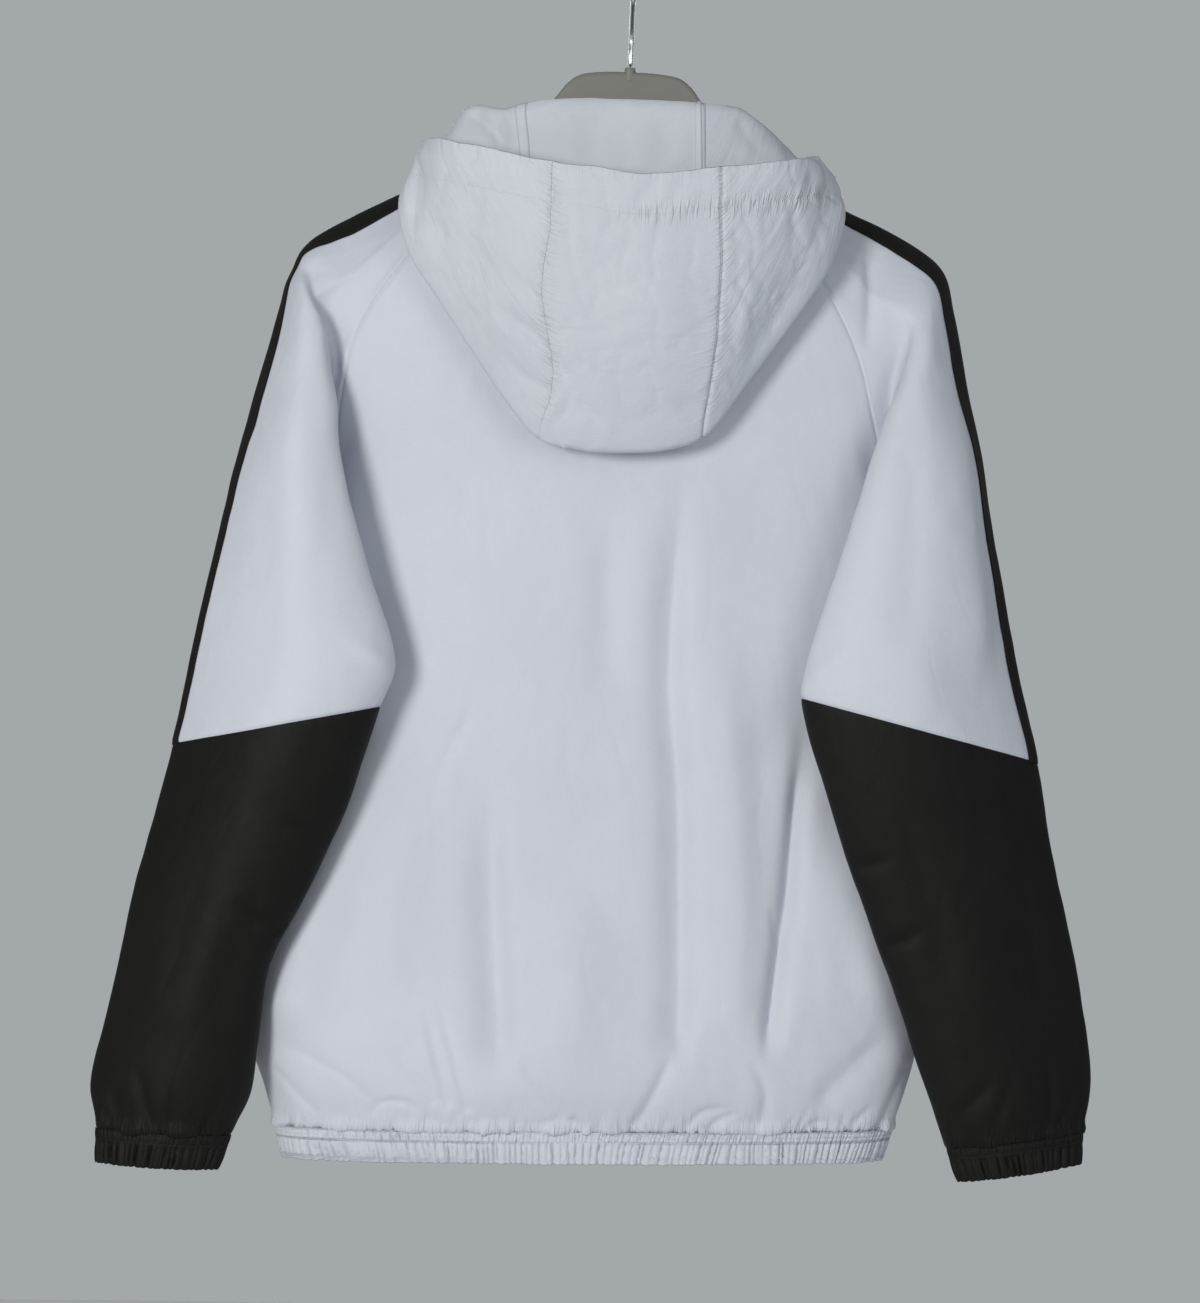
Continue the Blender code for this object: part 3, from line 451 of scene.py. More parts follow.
clothFinish = {
    "pale": {"colour": (0.585, 0.609, 0.681), "light": (0.635, 0.659, 0.726), "roughness": 0.6,
             "sheen": 0.1, "gloss": 0.5, "crinkle": 1.0, "pucker": 1.5},
    # the hood is the body's pale cloth; its colour and light colour are a little darker as painted shade, and
    # it crinkles more
    "hood": {"colour": (0.560, 0.587, 0.645), "light": (0.610, 0.637, 0.695), "roughness": 0.58,
             "sheen": 0.1, "gloss": 0.5, "crinkle": 2.3, "pucker": 2.2},
    "black": {"colour": (0.0050, 0.0050, 0.0042), "light": (0.0085, 0.0085, 0.0072),
              "roughness": 0.56, "sheen": 0.02, "gloss": 0.16, "crinkle": 1.5, "pucker": 1.8},
    "thread": 0.00042,  # from one thread of the weave to the next, in metres
}


def makeCloth(name, look):
    # heights here are in millimetres
    bench = Bench(name, look["colour"], look["roughness"], Sheen_Weight=look["sheen"],
                  Sheen_Roughness=0.4, Specular_IOR_Level=look["gloss"])
    uv = bench.add("ShaderNodeUVMap", {"uv_map": "cloth"})
    turns = 2 * math.pi / clothFinish["thread"]
    warp, weft = (bench.math("SINE", way * turns) for way in bench.parts(uv)[:2])
    slubs = bench.noise(bench.scaled(uv, (1.0, 0.06, 1)), 2400, 1.0)
    slubs2 = bench.noise(bench.scaled(uv, (0.06, 1.0, 1)), 2400, 1.0)
    crinkle = bench.noise(bench.scaled(uv, (1.0, 0.6, 1)), 75, 3.5, 0.58)
    creased = bench.noise(bench.scaled(uv, (1.0, 0.45, 1)), 28, 2.0, 0.5)
    crease = bench.crease(bench.noise(bench.scaled(uv, (1.0, 0.5, 1)), 14, 1.5, 0.45), 0.035)
    shade = bench.noise(uv, 9, 3.0, 0.6)
    height = crinkle * 0.36 + creased * 0.55 + crease * 0.10
    height = height * look["crinkle"] + (slubs + slubs2) * 0.03 + warp * weft * 0.012
    seams = bench.add("ShaderNodeAttribute", {"attribute_name": "pucker"}, None, 1)
    level, upright = bench.parts(seams)[:2]
    for amount, factors, scale in ((level, (1.0, 0.14, 1), 360), (upright, (0.14, 1.0, 1), 270)):
        wrinkles = bench.noise(bench.scaled(uv, factors), scale, 1.5, 0.5)
        height = height + (wrinkles + bench.crease(wrinkles, 0.09) * 0.22) * amount * look["pucker"]
    bench.bump(height, mm)
    mottle = bench.ramp(shade, 0.3, 0.7) * 0.55 + (slubs + slubs2 - 1.0) * 0.9 + 0.22
    bench.give("Base Color", bench.mix(look["colour"], look["light"], mottle))
    bench.give("Roughness", crinkle * 0.12 + (look["roughness"] - 0.06))
    return bench.material


def makePlain(name, colour, roughness, metallic=0.0, grain=0.00004, scale=900, vary=0.12):
    # moulded or drawn stuff: a fine grain and slightly uneven gloss
    bench = Bench(name, colour, roughness, metallic)
    place = bench.add("ShaderNodeTexCoord", None, None, 3)
    fine = bench.noise(place, scale, 3.0, 0.6)
    broad = bench.noise(place, 35, 3.0, 0.55)
    darker = [part * (1 - vary) for part in colour]
    bench.give("Base Color", bench.mix(darker, colour, broad))
    bench.give("Roughness", broad * 0.14 + (roughness - 0.07))
    bench.bump(fine, grain)
    return bench.material


finishes = {look: makeCloth(f"{look}Cloth", clothFinish[look]) for look in ("pale", "hood", "black")}
finishes["paleThread"] = makePlain("paleThread", (0.60, 0.64, 0.71), 0.6, grain=0.0001, scale=3000)
finishes["blackThread"] = makePlain("blackThread", (0.016, 0.016, 0.014), 0.6, grain=0.0001, scale=3000)
finishes["zipCoil"] = makePlain("zipCoil", (0.50, 0.54, 0.62), 0.4)
finishes["chrome"] = makePlain("chrome", (0.78, 0.79, 0.80), 0.2, 1.0, grain=0.00001, vary=0.06)
finishes["hangerPlastic"] = makePlain("hangerPlastic", (0.225, 0.222, 0.200), 0.42, grain=0.00005)
print("finishes ready")


# The body's sections, from the neck seam down to the hem band

body = {
    "armpit": 8,
    "columns": ("z", "centreX", "seamX", "backSeamY", "backY", "frontSeamY", "frontY", "arc", "rise"),
    "sections": (
        (-146, 0, 72, -40, -46, 36, 50, 50, 0),
        (-181, -2, 112, -38, -46, 40, 50, 55, 0),
        (-218, -6, 144, -36, -44, 42, 50, 60, 0),
        (-255, -8, 168, -33, -42, 42, 50, 65, 0),
        (-283, -8, 180, -29, -40, 38, 50, 70, 0),
        (-308, -7, 186, -23, -38, 32, 50, 75, 0),
        (-333, -5, 191, -15, -37, 25, 50, 80, 0),
        (-354, -3, 193, -5, -36, 16, 50, 85, 0),
        (-372, -2, 195, 6, -35, 6, 50, 90, 0),
        (-440, -1, 191, 8, -33, 8, 50, 90, 0),
        (-520, 0, 190, 8, -33, 8, 50, 90, 0),
        (-600, 0, 198, 8, -34, 8, 51, 90, 0),
        (-680, 0, 220, 8, -38, 8, 53, 90, 2),
        (-735, -2, 233, 8, -43, 8, 56, 90, 4),
        (-768, -4, 236, 8, -47, 8, 58, 90, 6),
        (-797, -2, 228, 8, -46, 8, 56, 90, 7),
        (-826, -2, 219, 8, -36, 8, 48, 90, 7),
    ),
    "neckDropSeam": 18,
    "neckDropCentre": 66,
    "neckDropRows": 5,
    "riseAt": 200,
    "zipHalf": 3.0,
    "wall": 1.2,  # of the solid under the cloth
    "thickness": 0.8,
    "pitch": 1.8,
    "rowPitch": 5.9,
    "hemRowPitch": 1.9,
    "sewn": 0.1,  # how far each piece's edge lies from its seam
    "pucker": {"low": (1.5, 6.5), "start": (0.16, 6), "end": (0.16, 6)},
}
panelShares = (0, 0.25, 0.5, 0.75, 1)
armpit, hemRow = body["armpit"], len(body["sections"]) - 1


def bodyPoint(index, side, face, share):
    row = dict(zip(body["columns"], body["sections"][index]))
    turn = math.radians(row["arc"])
    across = (math.sin(share * turn) / math.sin(turn)) ** 0.85
    inwards = (1 - math.cos(share * turn) ** 0.85) / (1 - max(math.cos(turn), 0) ** 0.85)
    seamX = row["centreX"] + side * row["seamX"]
    front = face == "front"
    centreX = side * (body["zipHalf"] + clothGap) if front else row["centreX"]
    x = centreX + (seamX - centreX) * across
    y = row[face + "Y"] + (row[face + "SeamY"] - row[face + "Y"]) * inwards
    drop = 0
    if front:
        fade = max(0.0, 1 - index / body["neckDropRows"])
        centre, seam = body["neckDropCentre"], body["neckDropSeam"]
        drop = fade * (seam + (centre - seam) * (1 - share**2))
    return np.array([x, y, row["z"] - drop + row["rise"] * x / body["riseAt"]])


def halfSection(index, side, face):
    return [bodyPoint(index, side, face, share) for share in panelShares]


# A sleeve's outline is the fold that hangs over the body and the top edge; its depths give the
# tube between them

sleeve = {
    "panelSeam": 11,
    "cuffTop": 17,
    "topKey": 7,
    "last": 10,
    "tapeRear": 10.0,
    "tapeFore": 15.0,
    "outlineColumns": ("foldX", "foldZ", "topX", "topZ"),
    "outline": {
        "right": (
            (77, -142, 84, -134), (114, -171, 120, -152), (148, -200, 160, -171),
            (176, -228, 193, -186), (203, -247, 225, -208), (199, -283, 235, -240),
            (187, -320, 246, -290), (177, -352, 256, -335), (171, -376, 263, -372),
            (157, -430, 276, -430), (142, -485, 291, -494), (138, -515, 307, -553),
            (160, -585, 320, -615), (184, -650, 333, -665), (209, -710, 346, -722),
            (230, -766, 354, -768), (246, -805, 353, -797), (255, -828, 350, -813),
            (264, -851, 350, -835),
        ),
        "left": (
            (77, -142, 84, -134), (116, -171, 122, -153), (155, -198, 160, -171),
            (184, -226, 193, -188), (209, -247, 226, -211), (205, -283, 236, -240),
            (195, -320, 249, -290), (191, -352, 259, -335), (186, -378, 267, -372),
            (170, -430, 278, -430), (147, -502, 290, -494), (156, -533, 302, -565),
            (176, -602, 313, -618), (202, -665, 325, -670), (226, -718, 335, -725),
            (233, -772, 344, -768), (237, -808, 351, -808), (250, -840, 345, -839),
            (258, -864, 344, -863),
        ),
    },
    "depthColumns": (
        "foldY", "foldR", "faceY", "topY", "topR", "frontY", "valleyDx", "valleyY", "underDx", "underY",
    ),
    "depths": (
        (-28, 0, -16, 0, 6, 18, -3, -34, 0, 0), (-28, 0, -16, 0, 6, 18, -3, -33, 0, 0),
        (-29, 0, -17, 0, 7, 20, -5, -33, 0, 0), (-29, 0, -19, 0, 8, 21, -8, -31, 0, 0),
        (-33, 3, -27, -1, 9, 18, -12, -28, 0, 0), (-40, 6, -40, -6, 10, 14, -6, -21, 0, 0),
        (-47, 9, -53, -12, 11, 10, 10, -14, 0, 0), (-52, 12, -63, -15, 12, 6, 24, -10, 0, 0),
        (-54, 13, -69, -17, 12, 6, 32, -14, 0, 0), (-54, 14, -74, -19, 12, 2, 31, -26, 44, -8),
        (-54, 15, -77, -20, 12, -2, 27, -30, 46, -18), (-54, 15, -76, -21, 12, -4, 30, -31, 48, -20),
        (-50, 14, -70, -20, 11, -3, 28, -29, 46, -18), (-46, 13, -64, -18, 11, 0, 24, -26, 40, -14),
        (-41, 13, -58, -16, 11, 3, 21, -22, 34, -10), (-34, 13, -52, -14, 11, 6, 16, -16, 28, -6),
        (-27, 13, -48, -14, 11, 8, 12, -10, 24, -2), (-22, 9, -41, -18, 9, 3, 10, -9, 20, -5),
        (-22, 8, -40, -19, 9, 1, 9, -10, 18, -7),
    ),
    "thickness": 0.8,
    "pitch": 3.2,
    "shownFrom": (3.0, 4.0),  # the face that shows behind, by the sections' points
    "shownTo": (6.6, 7.6),
    "hiddenFrom": (7.6, 8.6),
    "gathers": {"spacing": 7.5, "reach": 34, "depth": 1.9, "seed": 51},
    "gathersFrom": 15,
    "folds": {
        "right": (
            (((171, -188), (175, -227), (173, -277)), -4.0, 4, 7, 0.4, 0.3, 0.4),
            (((206, -240), (200, -272), (190, -312)), -2.0, 7, 6, 0.2, 0.4, 0.4),
            (((216, -232), (212, -270), (206, -312)), 1.6, 8, 8, 0.0, 0.4, 0.4),
            (((206, -305), (210, -380), (208, -440), (204, -500)), -3.2, 16, 13, 0.0, 0.4, 0.4),
            (((230, -280), (240, -340), (248, -400), (256, -460), (262, -515)), 7.5, 22, 14, 0.0, 0.35, 0.3),
            (((205, -576), (231, -652), (259, -735)), -2.0, 12, 10, 0.2, 0.4, 0.3),
            (((292, -600), (306, -680), (322, -745)), -1.6, 10, 10, 0.2, 0.4, 0.4),
            (((240, -610), (262, -690), (282, -760)), 1.5, 12, 14, 0.0, 0.4, 0.4),
            (((286, -770), (270, -790), (251, -812)), -2.2, 4, 6, 0.5, 0.4, 0.1),
            (((318, -752), (324, -780), (326, -808)), -2.2, 4, 4, 0.5, 0.5, 0.1),
            (((344, -776), (338, -792), (331, -809)), -2.0, 4, 4, 0.5, 0.4, 0.1),
            (((170, -634), (190, -629), (212, -618)), -3.4, 4, 5, 0.3, 0.02, 0.6),
            (((192, -690), (213, -682), (234, -668)), -3.4, 4, 5, 0.3, 0.02, 0.6),
            (((132, -502), (156, -490), (184, -470)), 3.0, 6, 9, 0.2, 0.02, 0.7),
            (((296, -760), (292, -785), (284, -812)), -1.6, 4, 4, 0.4, 0.5, 0.1),
        ),
        "left": (
            (((-229, -221), (-220, -244), (-212, -260), (-206, -276), (-202, -293), (-198, -318)),
             4.0, 18, 3.5, 0.2, 0.15, 0.5),
            (((-225, -220), (-216, -244), (-208, -260), (-202, -276), (-198, -293), (-195, -318)),
             -4.5, 3.5, 14, 0.3, 0.1, 0.5),
            (((-205, -300), (-196, -380), (-186, -440)), -2.0, 12, 12, 0.0, 0.4, 0.4),
            (((-232, -330), (-240, -430), (-246, -520)), -1.4, 16, 16, 0.0, 0.4, 0.4),
            (((-268, -610), (-286, -690), (-300, -760)), -1.6, 14, 14, 0.1, 0.4, 0.4),
            (((-222, -640), (-248, -710), (-262, -770)), -1.6, 12, 12, 0.1, 0.4, 0.4),
            (((-316, -790), (-311, -812), (-303, -838)), -2.2, 4, 5, 0.5, 0.4, 0.1),
            (((-250, -790), (-258, -815), (-270, -838)), -2.4, 4, 5, 0.5, 0.4, 0.1),
            (((-333, -800), (-330, -820), (-322, -838)), -1.8, 4, 4, 0.4, 0.4, 0.1),
            (((-180, -628), (-202, -621), (-224, -611)), -3.2, 5, 4, 0.3, 0.02, 0.6),
            (((-217, -693), (-236, -683), (-256, -669)), -3.4, 5, 4, 0.3, 0.02, 0.6),
            (((-141, -507), (-166, -495), (-194, -473)), 3.2, 9, 6, 0.2, 0.02, 0.7),
            (((-286, -795), (-288, -815), (-286, -838)), -1.6, 4, 4, 0.4, 0.5, 0.1),
        ),
    },
}


def sleeveSection(index, sideName):
    side = sides[sideName]
    outline = dict(zip(sleeve["outlineColumns"], sleeve["outline"][sideName][index]))
    depth = dict(zip(sleeve["depthColumns"], sleeve["depths"][index]))
    fold = np.array([side * outline["foldX"], depth["foldY"], outline["foldZ"]])
    top = np.array([side * outline["topX"], depth["topY"], outline["topZ"]])

    def between(step, y):
        point = lerp(fold, top, step / (outline["topX"] - outline["foldX"]))
        point[1] = y
        return point

    valley = between(depth["valleyDx"], depth["valleyY"])
    if index <= armpit:
        start = bodyPoint(index, side, "back", 1)
        end = bodyPoint(index, side, "front", 1)
        valley[2] = (start[2] + fold[2]) / 2
        if index == armpit:
            start = start + (side * (body["wall"] + clothGap), 0, 0)
            end = start
    else:
        start = end = between(depth["underDx"], depth["underY"])
    face = lerp(fold, top, 0.5)
    face[1] = depth["faceY"]
    front = lerp(top, end, 0.45)
    front[1] = depth["frontY"]
    return [
        start, valley, lerp(fold, valley, 0.25) + (0, 0.4 * depth["foldR"], 0), fold,
        lerp(fold, face, 0.25) - (0, 0.7 * depth["foldR"], 0), face,
        towards(top, face, sleeve["tapeRear"]) - (0, 0.5 * depth["topR"], 0), top,
        towards(top, front, sleeve["tapeFore"]) + (0, 0.5 * depth["topR"], 0), front, end,
    ]


def neighbour(index, sideName, face):
    if index < armpit:
        return sleeveSection(index, sideName)[1 if face == "back" else -2]
    other = "front" if face == "back" else "back"
    return halfSection(index, sides[sideName], other)[-2]


def backSurface():
    rows = []
    for index in range(hemRow + 1):
        left, right = (halfSection(index, side, "back") for side in (-1, 1))
        beyond = [neighbour(index, name, "back") for name in ("left", "right")]
        rows.append([beyond[0], *left[::-1], *right[1:], beyond[1]])
    return ClothSurface(rows)


def frontSurface(sideName):
    rows = []
    for index in range(hemRow + 1):
        half = halfSection(index, sides[sideName], "front")
        rows.append([half[1] * (-1, 1, 1), *half, neighbour(index, sideName, "front")])
    return ClothSurface(rows)


def sleeveSurface(sideName):
    rows = []
    for index in range(len(sleeve["depths"])):
        points = sleeveSection(index, sideName)
        before, after = points[-2], points[1]
        if index < armpit:
            before, after = (halfSection(index, sides[sideName], face)[-2] for face in ("back", "front"))
        rows.append([before, *points, after])
    return ClothSurface(rows)


backCloth = backSurface()
frontCloth = {name: frontSurface(name) for name in sides}
sleeveCloth = {name: sleeveSurface(name) for name in sides}


def sideSeam(sideName, t):
    behind = backCloth.at(t, np.array([4.0 + 4 * sides[sideName]]))[:, 0]
    before = frontCloth[sideName].at(t, np.array([4.0]))[:, 0]
    return (behind + before) / 2


# The back panel and its folds

back = {
    "folds": (
        (((2, -375), (0, -452), (7, -543)), -3.8, 15, 13, 0.1, 0.4, 0.4),
        (((50, -352), (46, -423), (46, -516), (54, -578), (58, -650), (61, -720), (62, -782)),
         -8.5, 13, 10, 0.3, 0.25, 0.1),
        (((74, -430), (90, -560), (100, -660), (100, -762)), 5.8, 22, 16, 0.0, 0.35, 0.12),
        (((143, -520), (140, -572), (138, -600), (135, -653), (129, -711), (124, -772)),
         -6.5, 7, 9, 0.2, 0.3, 0.1),
        (((139, -566), (137, -600), (134, -653), (128, -711), (123, -772)),
         -3.4, 3.0, 5.5, 0.6, 0.2, 0.15),
        (((122, -658), (127, -678), (129, -692)), -1.6, 3, 4, 0.6, 0.3, 0.4),
        (((111, -766), (124, -790), (123, -812), (120, -824)), -2.6, 4, 6, 0.5, 0.25, 0.05),
        (((60, -762), (49, -790), (34, -822)), -3.2, 5, 6, 0.5, 0.35, 0.05),
        (((-80, -560), (-75, -646), (-68, -719), (-61, -794)), -8.0, 15, 11, 0.12, 0.35, 0.15),
        (((-128, -560), (-140, -650), (-148, -750)), 4.0, 24, 20, 0.0, 0.4, 0.2),
        (((-150, -500), (-164, -580), (-186, -650), (-209, -715), (-214, -780)),
         11.5, 27, 26, 0.0, 0.35, 0.15),
        (((-14, -640), (-16, -720), (-18, -815)), 5.5, 27, 24, 0.0, 0.35, 0.4),
        (((-89, -526), (-103, -552), (-119, -580)), -1.7, 3, 6, 0.7, 0.35, 0.4),
        (((-119, -737), (-108, -772), (-96, -815)), -2.0, 4, 6, 0.4, 0.4, 0.1),
        (((-107, -735), (-95, -775), (-82, -818)), -2.2, 4, 5, 0.5, 0.4, 0.1),
        (((-146, -762), (-125, -785), (-104, -812)), -1.8, 5, 7, 0.4, 0.4, 0.1),
        (((-218, -772), (-170, -795), (-146, -814)), -1.3, 3, 5, 0.6, 0.3, 0.2),
        (((-228, -786), (-205, -808), (-186, -824)), -1.3, 3, 5, 0.6, 0.3, 0.2),
        (((-52, -768), (-36, -790), (-14, -818)), -2.0, 5, 7, 0.4, 0.35, 0.1),
        (((-151, -822), (-146, -812), (-130, -809), (-112, -817)), -1.8, 2.5, 3.5, 0.6, 0.2, 0.3),
        (((-36, -824), (-20, -817), (4, -821)), -1.4, 3, 3, 0.5, 0.3, 0.3),
        (((70, -822), (80, -808), (104, -803)), -1.9, 3, 3.5, 0.5, 0.1, 0.3),
        (((84, -823), (94, -812), (108, -806)), -1.6, 2.5, 3, 0.5, 0.1, 0.3),
        (((219, -745), (184, -774), (158, -806)), -3.0, 9, 10, 0.1, 0.3, 0.2),
        (((229, -766), (217, -792), (208, -820)), -2.2, 4, 5, 0.4, 0.2, 0.05),
        (((203, -796), (190, -812), (182, -822)), -1.6, 3, 4, 0.4, 0.3, 0.05),
        (((150, -822), (160, -813), (176, -814)), -1.5, 3, 3, 0.5, 0.2, 0.3),
        (((150, -600), (165, -690), (166, -746)), 2.5, 14, 16, 0.0, 0.4, 0.3),
        (((172, -580), (192, -670), (206, -750)), 7.0, 22, 24, 0.0, 0.35, 0.25),
    ),
    "gathers": {"spacing": 4.2, "reach": 24, "depth": 3.0, "seed": 11, "span": (-215, 212)},
    "seed": 3,
    "fine": 0.22,
    "blouseSeed": 17,
    "sewn": ("top", "low", "start", "end"),
    "pucker": {},
}


blouse = {
    "least": 0.22, "broad": 0.9, "fine": 0.3,  # how much of it there is, and how it varies
    "depth": 3.0,
    "bulge": (4.6, 3.4),  # how far above the seam it lies, and how far it spreads
    "sag": (2.6, 3.2),
}


def overhang(points, normal, seed):
    # the cloth blouses unevenly over the band that gathers it
    distance = edgeDistance(points, "low")
    amount = blouse["least"] + blouse["broad"] * softNoise(points, (17, 20, 90), seed)
    amount += blouse["fine"] * softNoise(points, (6, 8, 90), seed + 1)
    amount = np.clip(amount, 0, 1.2) * smoothStep(np.abs(points[..., 0]), 4, 14)
    bulge, sag = (
        blouse["depth"] * amount * np.exp(-(((distance - place) / reach) ** 2))
        for place, reach in (blouse["bulge"], blouse["sag"])
    )
    points = points + normal * bulge[..., None]
    points[..., 2] -= sag
    return points


def makePanel(name, surface, t, s, facts, folds, seams, side=0):
    # sewn at its neck and sides and gathered at its hem; side is 0 for the back
    t = np.sort(np.append(t, armpit))
    plain, normal = surface.at(t, s), surface.normal(t, s)
    normal *= np.sign(normal[0, 0, 1]) if side else -np.sign(normal[0, len(s) // 2, 1])
    under = t >= armpit
    for column, sideName in seams.items():
        plain[under, column] = sideSeam(sideName, t[under])
    rim = np.min([edgeDistance(plain, edge) for edge in ("top", "start", "end")], axis=0)
    along, above = plain[..., 0] * (side or 1), edgeDistance(plain, "low")
    height = creaseHeight(plain, folds) + unevenness(plain, facts["seed"] + side, 0.9, facts["fine"])
    height += gatherHeight(along, above, facts["gathers"], side)
    outer = plain + normal * (height * smoothStep(rim, 0, 16))[..., None]
    outer = overhang(tuckSeams(outer, normal, facts["sewn"]), normal, facts["blouseSeed"])
    pullIn(outer, facts["sewn"], body["sewn"])
    clothShell(name, outer, normal, body["thickness"], finishes["pale"], flat=plain,
               pucker=puckerGrid(plain, {**body["pucker"], **facts["pucker"]}))
    return plain, normal


def makeBack():
    s = stations(backCloth, "s", [10.0, 14.0], 0, 8, body["pitch"])
    t = np.concatenate([
        stations(backCloth, "t", [2.0, 4.0, 6.0], 0, 12, body["rowPitch"], (1, 0))[:-1],
        stations(backCloth, "t", [4.0], 12, hemRow, body["hemRowPitch"], (0, 1)),
    ])
    makePanel("backPanel", backCloth, t, s, back, back["folds"], {0: "left", -1: "right"})


makeBack()
print("back panel made")


# The fronts, on the hidden side

front = {
    "folds": {
        "right": (
            (((60, -300), (54, -480), (62, -700)), -4.0, 18, 18, 0.1, 0.3, 0.2),
            (((120, -420), (128, -600), (124, -780)), -5.0, 16, 14, 0.2, 0.3, 0.1),
            (((92, -380), (94, -600), (96, -780)), 4.0, 18, 18, 0.0, 0.3, 0.1),
            (((172, -560), (168, -700), (160, -800)), 3.0, 16, 16, 0.0, 0.3, 0.1),
            (((204, -760), (176, -790), (160, -815)), -2.0, 5, 7, 0.4, 0.3, 0.1),
        ),
        "left": (
            (((-52, -320), (-60, -520), (-54, -740)), -4.0, 18, 18, 0.1, 0.3, 0.2),
            (((-124, -460), (-118, -620), (-126, -780)), -5.0, 15, 15, 0.2, 0.3, 0.1),
            (((-90, -360), (-88, -580), (-92, -770)), 4.0, 18, 18, 0.0, 0.3, 0.1),
            (((-168, -540), (-176, -700), (-166, -800)), 3.0, 16, 16, 0.0, 0.3, 0.1),
            (((-208, -755), (-184, -786), (-160, -812)), -2.0, 5, 7, 0.4, 0.3, 0.1),
        ),
    },
    "gathers": {"spacing": 6.5, "reach": 26, "depth": 1.4, "seed": 31, "span": (8, 214)},
    "seed": 21,
    "fine": 0.2,
    "blouseSeed": 19,
    "sewn": ("top", "low", "end"),
    "pucker": {"start": (0.45, 8)},
    "pitch": 3.6,
    "rowPitch": 4.0,
    "hemRowPitch": 2.6,
}


def makeFront(sideName):
    surface = frontCloth[sideName]
    s = stations(surface, "s", [10.0, 14.0], 0, 4, front["pitch"])
    t = np.concatenate([
        stations(surface, "t", [1.0, 3.0], 0, 13, front["rowPitch"], (1, 0))[:-1],
        stations(surface, "t", [2.0], 13, hemRow, front["hemRowPitch"], (0, 1)),
    ])
    return makePanel(f"frontPanel{sideName.title()}", surface, t, s, front, front["folds"][sideName],
                     {-1: sideName}, sides[sideName])


frontGrids = {name: makeFront(name) for name in sides}
print("fronts made")


# The hem band, gathered on elastic: a fine channel over a wider pleated casing. For the pleats of
# each, starts, ends and span are heights below the band's seam.

hem = {
    "height": 22.0,
    "narrowing": 0.97,
    "pitch": 0.78,
    "thickness": 0.9,
    "channel": 6.2,
    "casing": {
        "spacing": 4.4, "depth": 3.7, "width": 0.9, "seed": 5, "starts": (5.6, 7.4), "ends": (15, 22),
        "fades": 0.35, "bulge": 0.7, "roundness": 0.7, "span": (6.2, 22.0),
    },
    "fine": {
        "spacing": 2.5, "depth": 2.5, "width": 0.66, "seed": 9, "starts": (-1.6, 0.2), "ends": (5.6, 6.8),
        "fades": 1, "bulge": 0.3, "roundness": 1, "span": (0, 6.2),
    },
    "lift": 0.9,
    "plainEnd": (-206, -198),  # on the left, where the band starts without pleats
    "drops": (-0.5, 0.3, 1.2, 2.4, 3.8, 4.9, 5.7, 6.2, 6.7, 7.6, 9.2, 11.2, 13.4, 15.6, 17.8, 19.6, 20.9,
              21.6),
}


def pleatHeight(along, part, seed, last):
    # narrow uneven troughs between rounded pleats; along has one row for each height
    dice = random.Random(seed)
    total = np.zeros(along.shape)
    place = 0.0
    while place < last:
        place += part["spacing"] * dice.uniform(0.55, 1.45)
        near = np.abs(along - place) < 6 * part["width"]
        wide = part["width"] * dice.uniform(0.7, 1.4)
        size = part["depth"] * dice.uniform(0.3, 1.0)
        total[near] = np.minimum(total[near], -size * np.exp(-np.abs(along[near] - place) / wide))
    return total


def bandHeight(band, places, along, side, last):
    # the pleats of a casing and of the fine channel above it, which bulge between stitch lines
    total = np.zeros(along.shape)
    for part in (band["casing"], band["fine"]):
        shown = smoothStep(places, *part["starts"]) * (1 - part["fades"] * smoothStep(places, *part["ends"]))
        total += pleatHeight(along, part, part["seed"] + side, last) * shown[:, None]
        first, final = part["span"]
        arch = np.sin(np.pi * np.clip((places - first) / (final - first), 0, 1))
        total += part["bulge"] * (arch ** part["roundness"])[:, None]
    return total


def hemRing():
    last = np.array([float(hemRow)])
    ring = []
    for surface, first, final in ((frontCloth["left"], 0, 4), (backCloth, 0, 8), (frontCloth["right"], 4, 0)):
        s = stations(surface, "s", last, min(first, final), max(first, final), hem["pitch"], (0, 0))
        points = surface.at(last, s)[0]
        ring.append((points if first < final else points[::-1])[:-1])
    ring.append(frontCloth["right"].at(last, np.array([0.0]))[0])
    return np.concatenate(ring)


def ringOutward(ring):
    along = np.gradient(ring[:, :2], axis=0)
    for _ in range(12):  # the seams between panels stay soft
        along[1:-1] = (along[:-2] + 2 * along[1:-1] + along[2:]) / 4
    out = np.stack([-along[:, 1], along[:, 0], np.zeros(len(ring))], axis=1)
    out *= -1 / np.linalg.norm(out, axis=1, keepdims=True)
    return out * (np.sign(out[len(ring) // 2, 1]) * -1)


def hemForm(drops):
    ring = hemRing()
    out = ringOutward(ring)
    length = runLength(ring)
    drops = np.asarray(drops, float)
    slant = 0.28 * softNoise(ring, (26, 26, 26), 8)
    along = length + slant * drops[:, None] + 0.4 * np.sin(drops / 5)[:, None]
    pleated = smoothStep(ring[:, 0], *hem["plainEnd"]) + (ring[:, 1] > 8)
    height = bandHeight(hem, drops, along, 0, length[-1]) * np.clip(pleated, 0.25, 1)
    height += 0.5 * softNoise(ring, (14, 14, 14), 4)
    waver = 0.4 * softNoise(ring, (6, 6, 6), 12)
    rows = []
    for drop, lift in zip(drops, height):
        pull = 1 - (1 - hem["narrowing"]) * drop / hem["height"]
        row = ring * (pull, 1, 1) + out * (lift + hem["lift"])[:, None]
        sag = waver + 0.55 * np.clip(lift, -2.5, 0.6)
        row[:, 2] -= drop + sag * smoothStep(drop, 8, hem["height"])
        rows.append(row)
    points = np.stack(rows)
    for column, side in ((0, -1), (-1, 1)):
        points[:, column, 0] = side * (body["zipHalf"] + clothGap)
    return points, np.repeat(out[None], len(rows), axis=0)


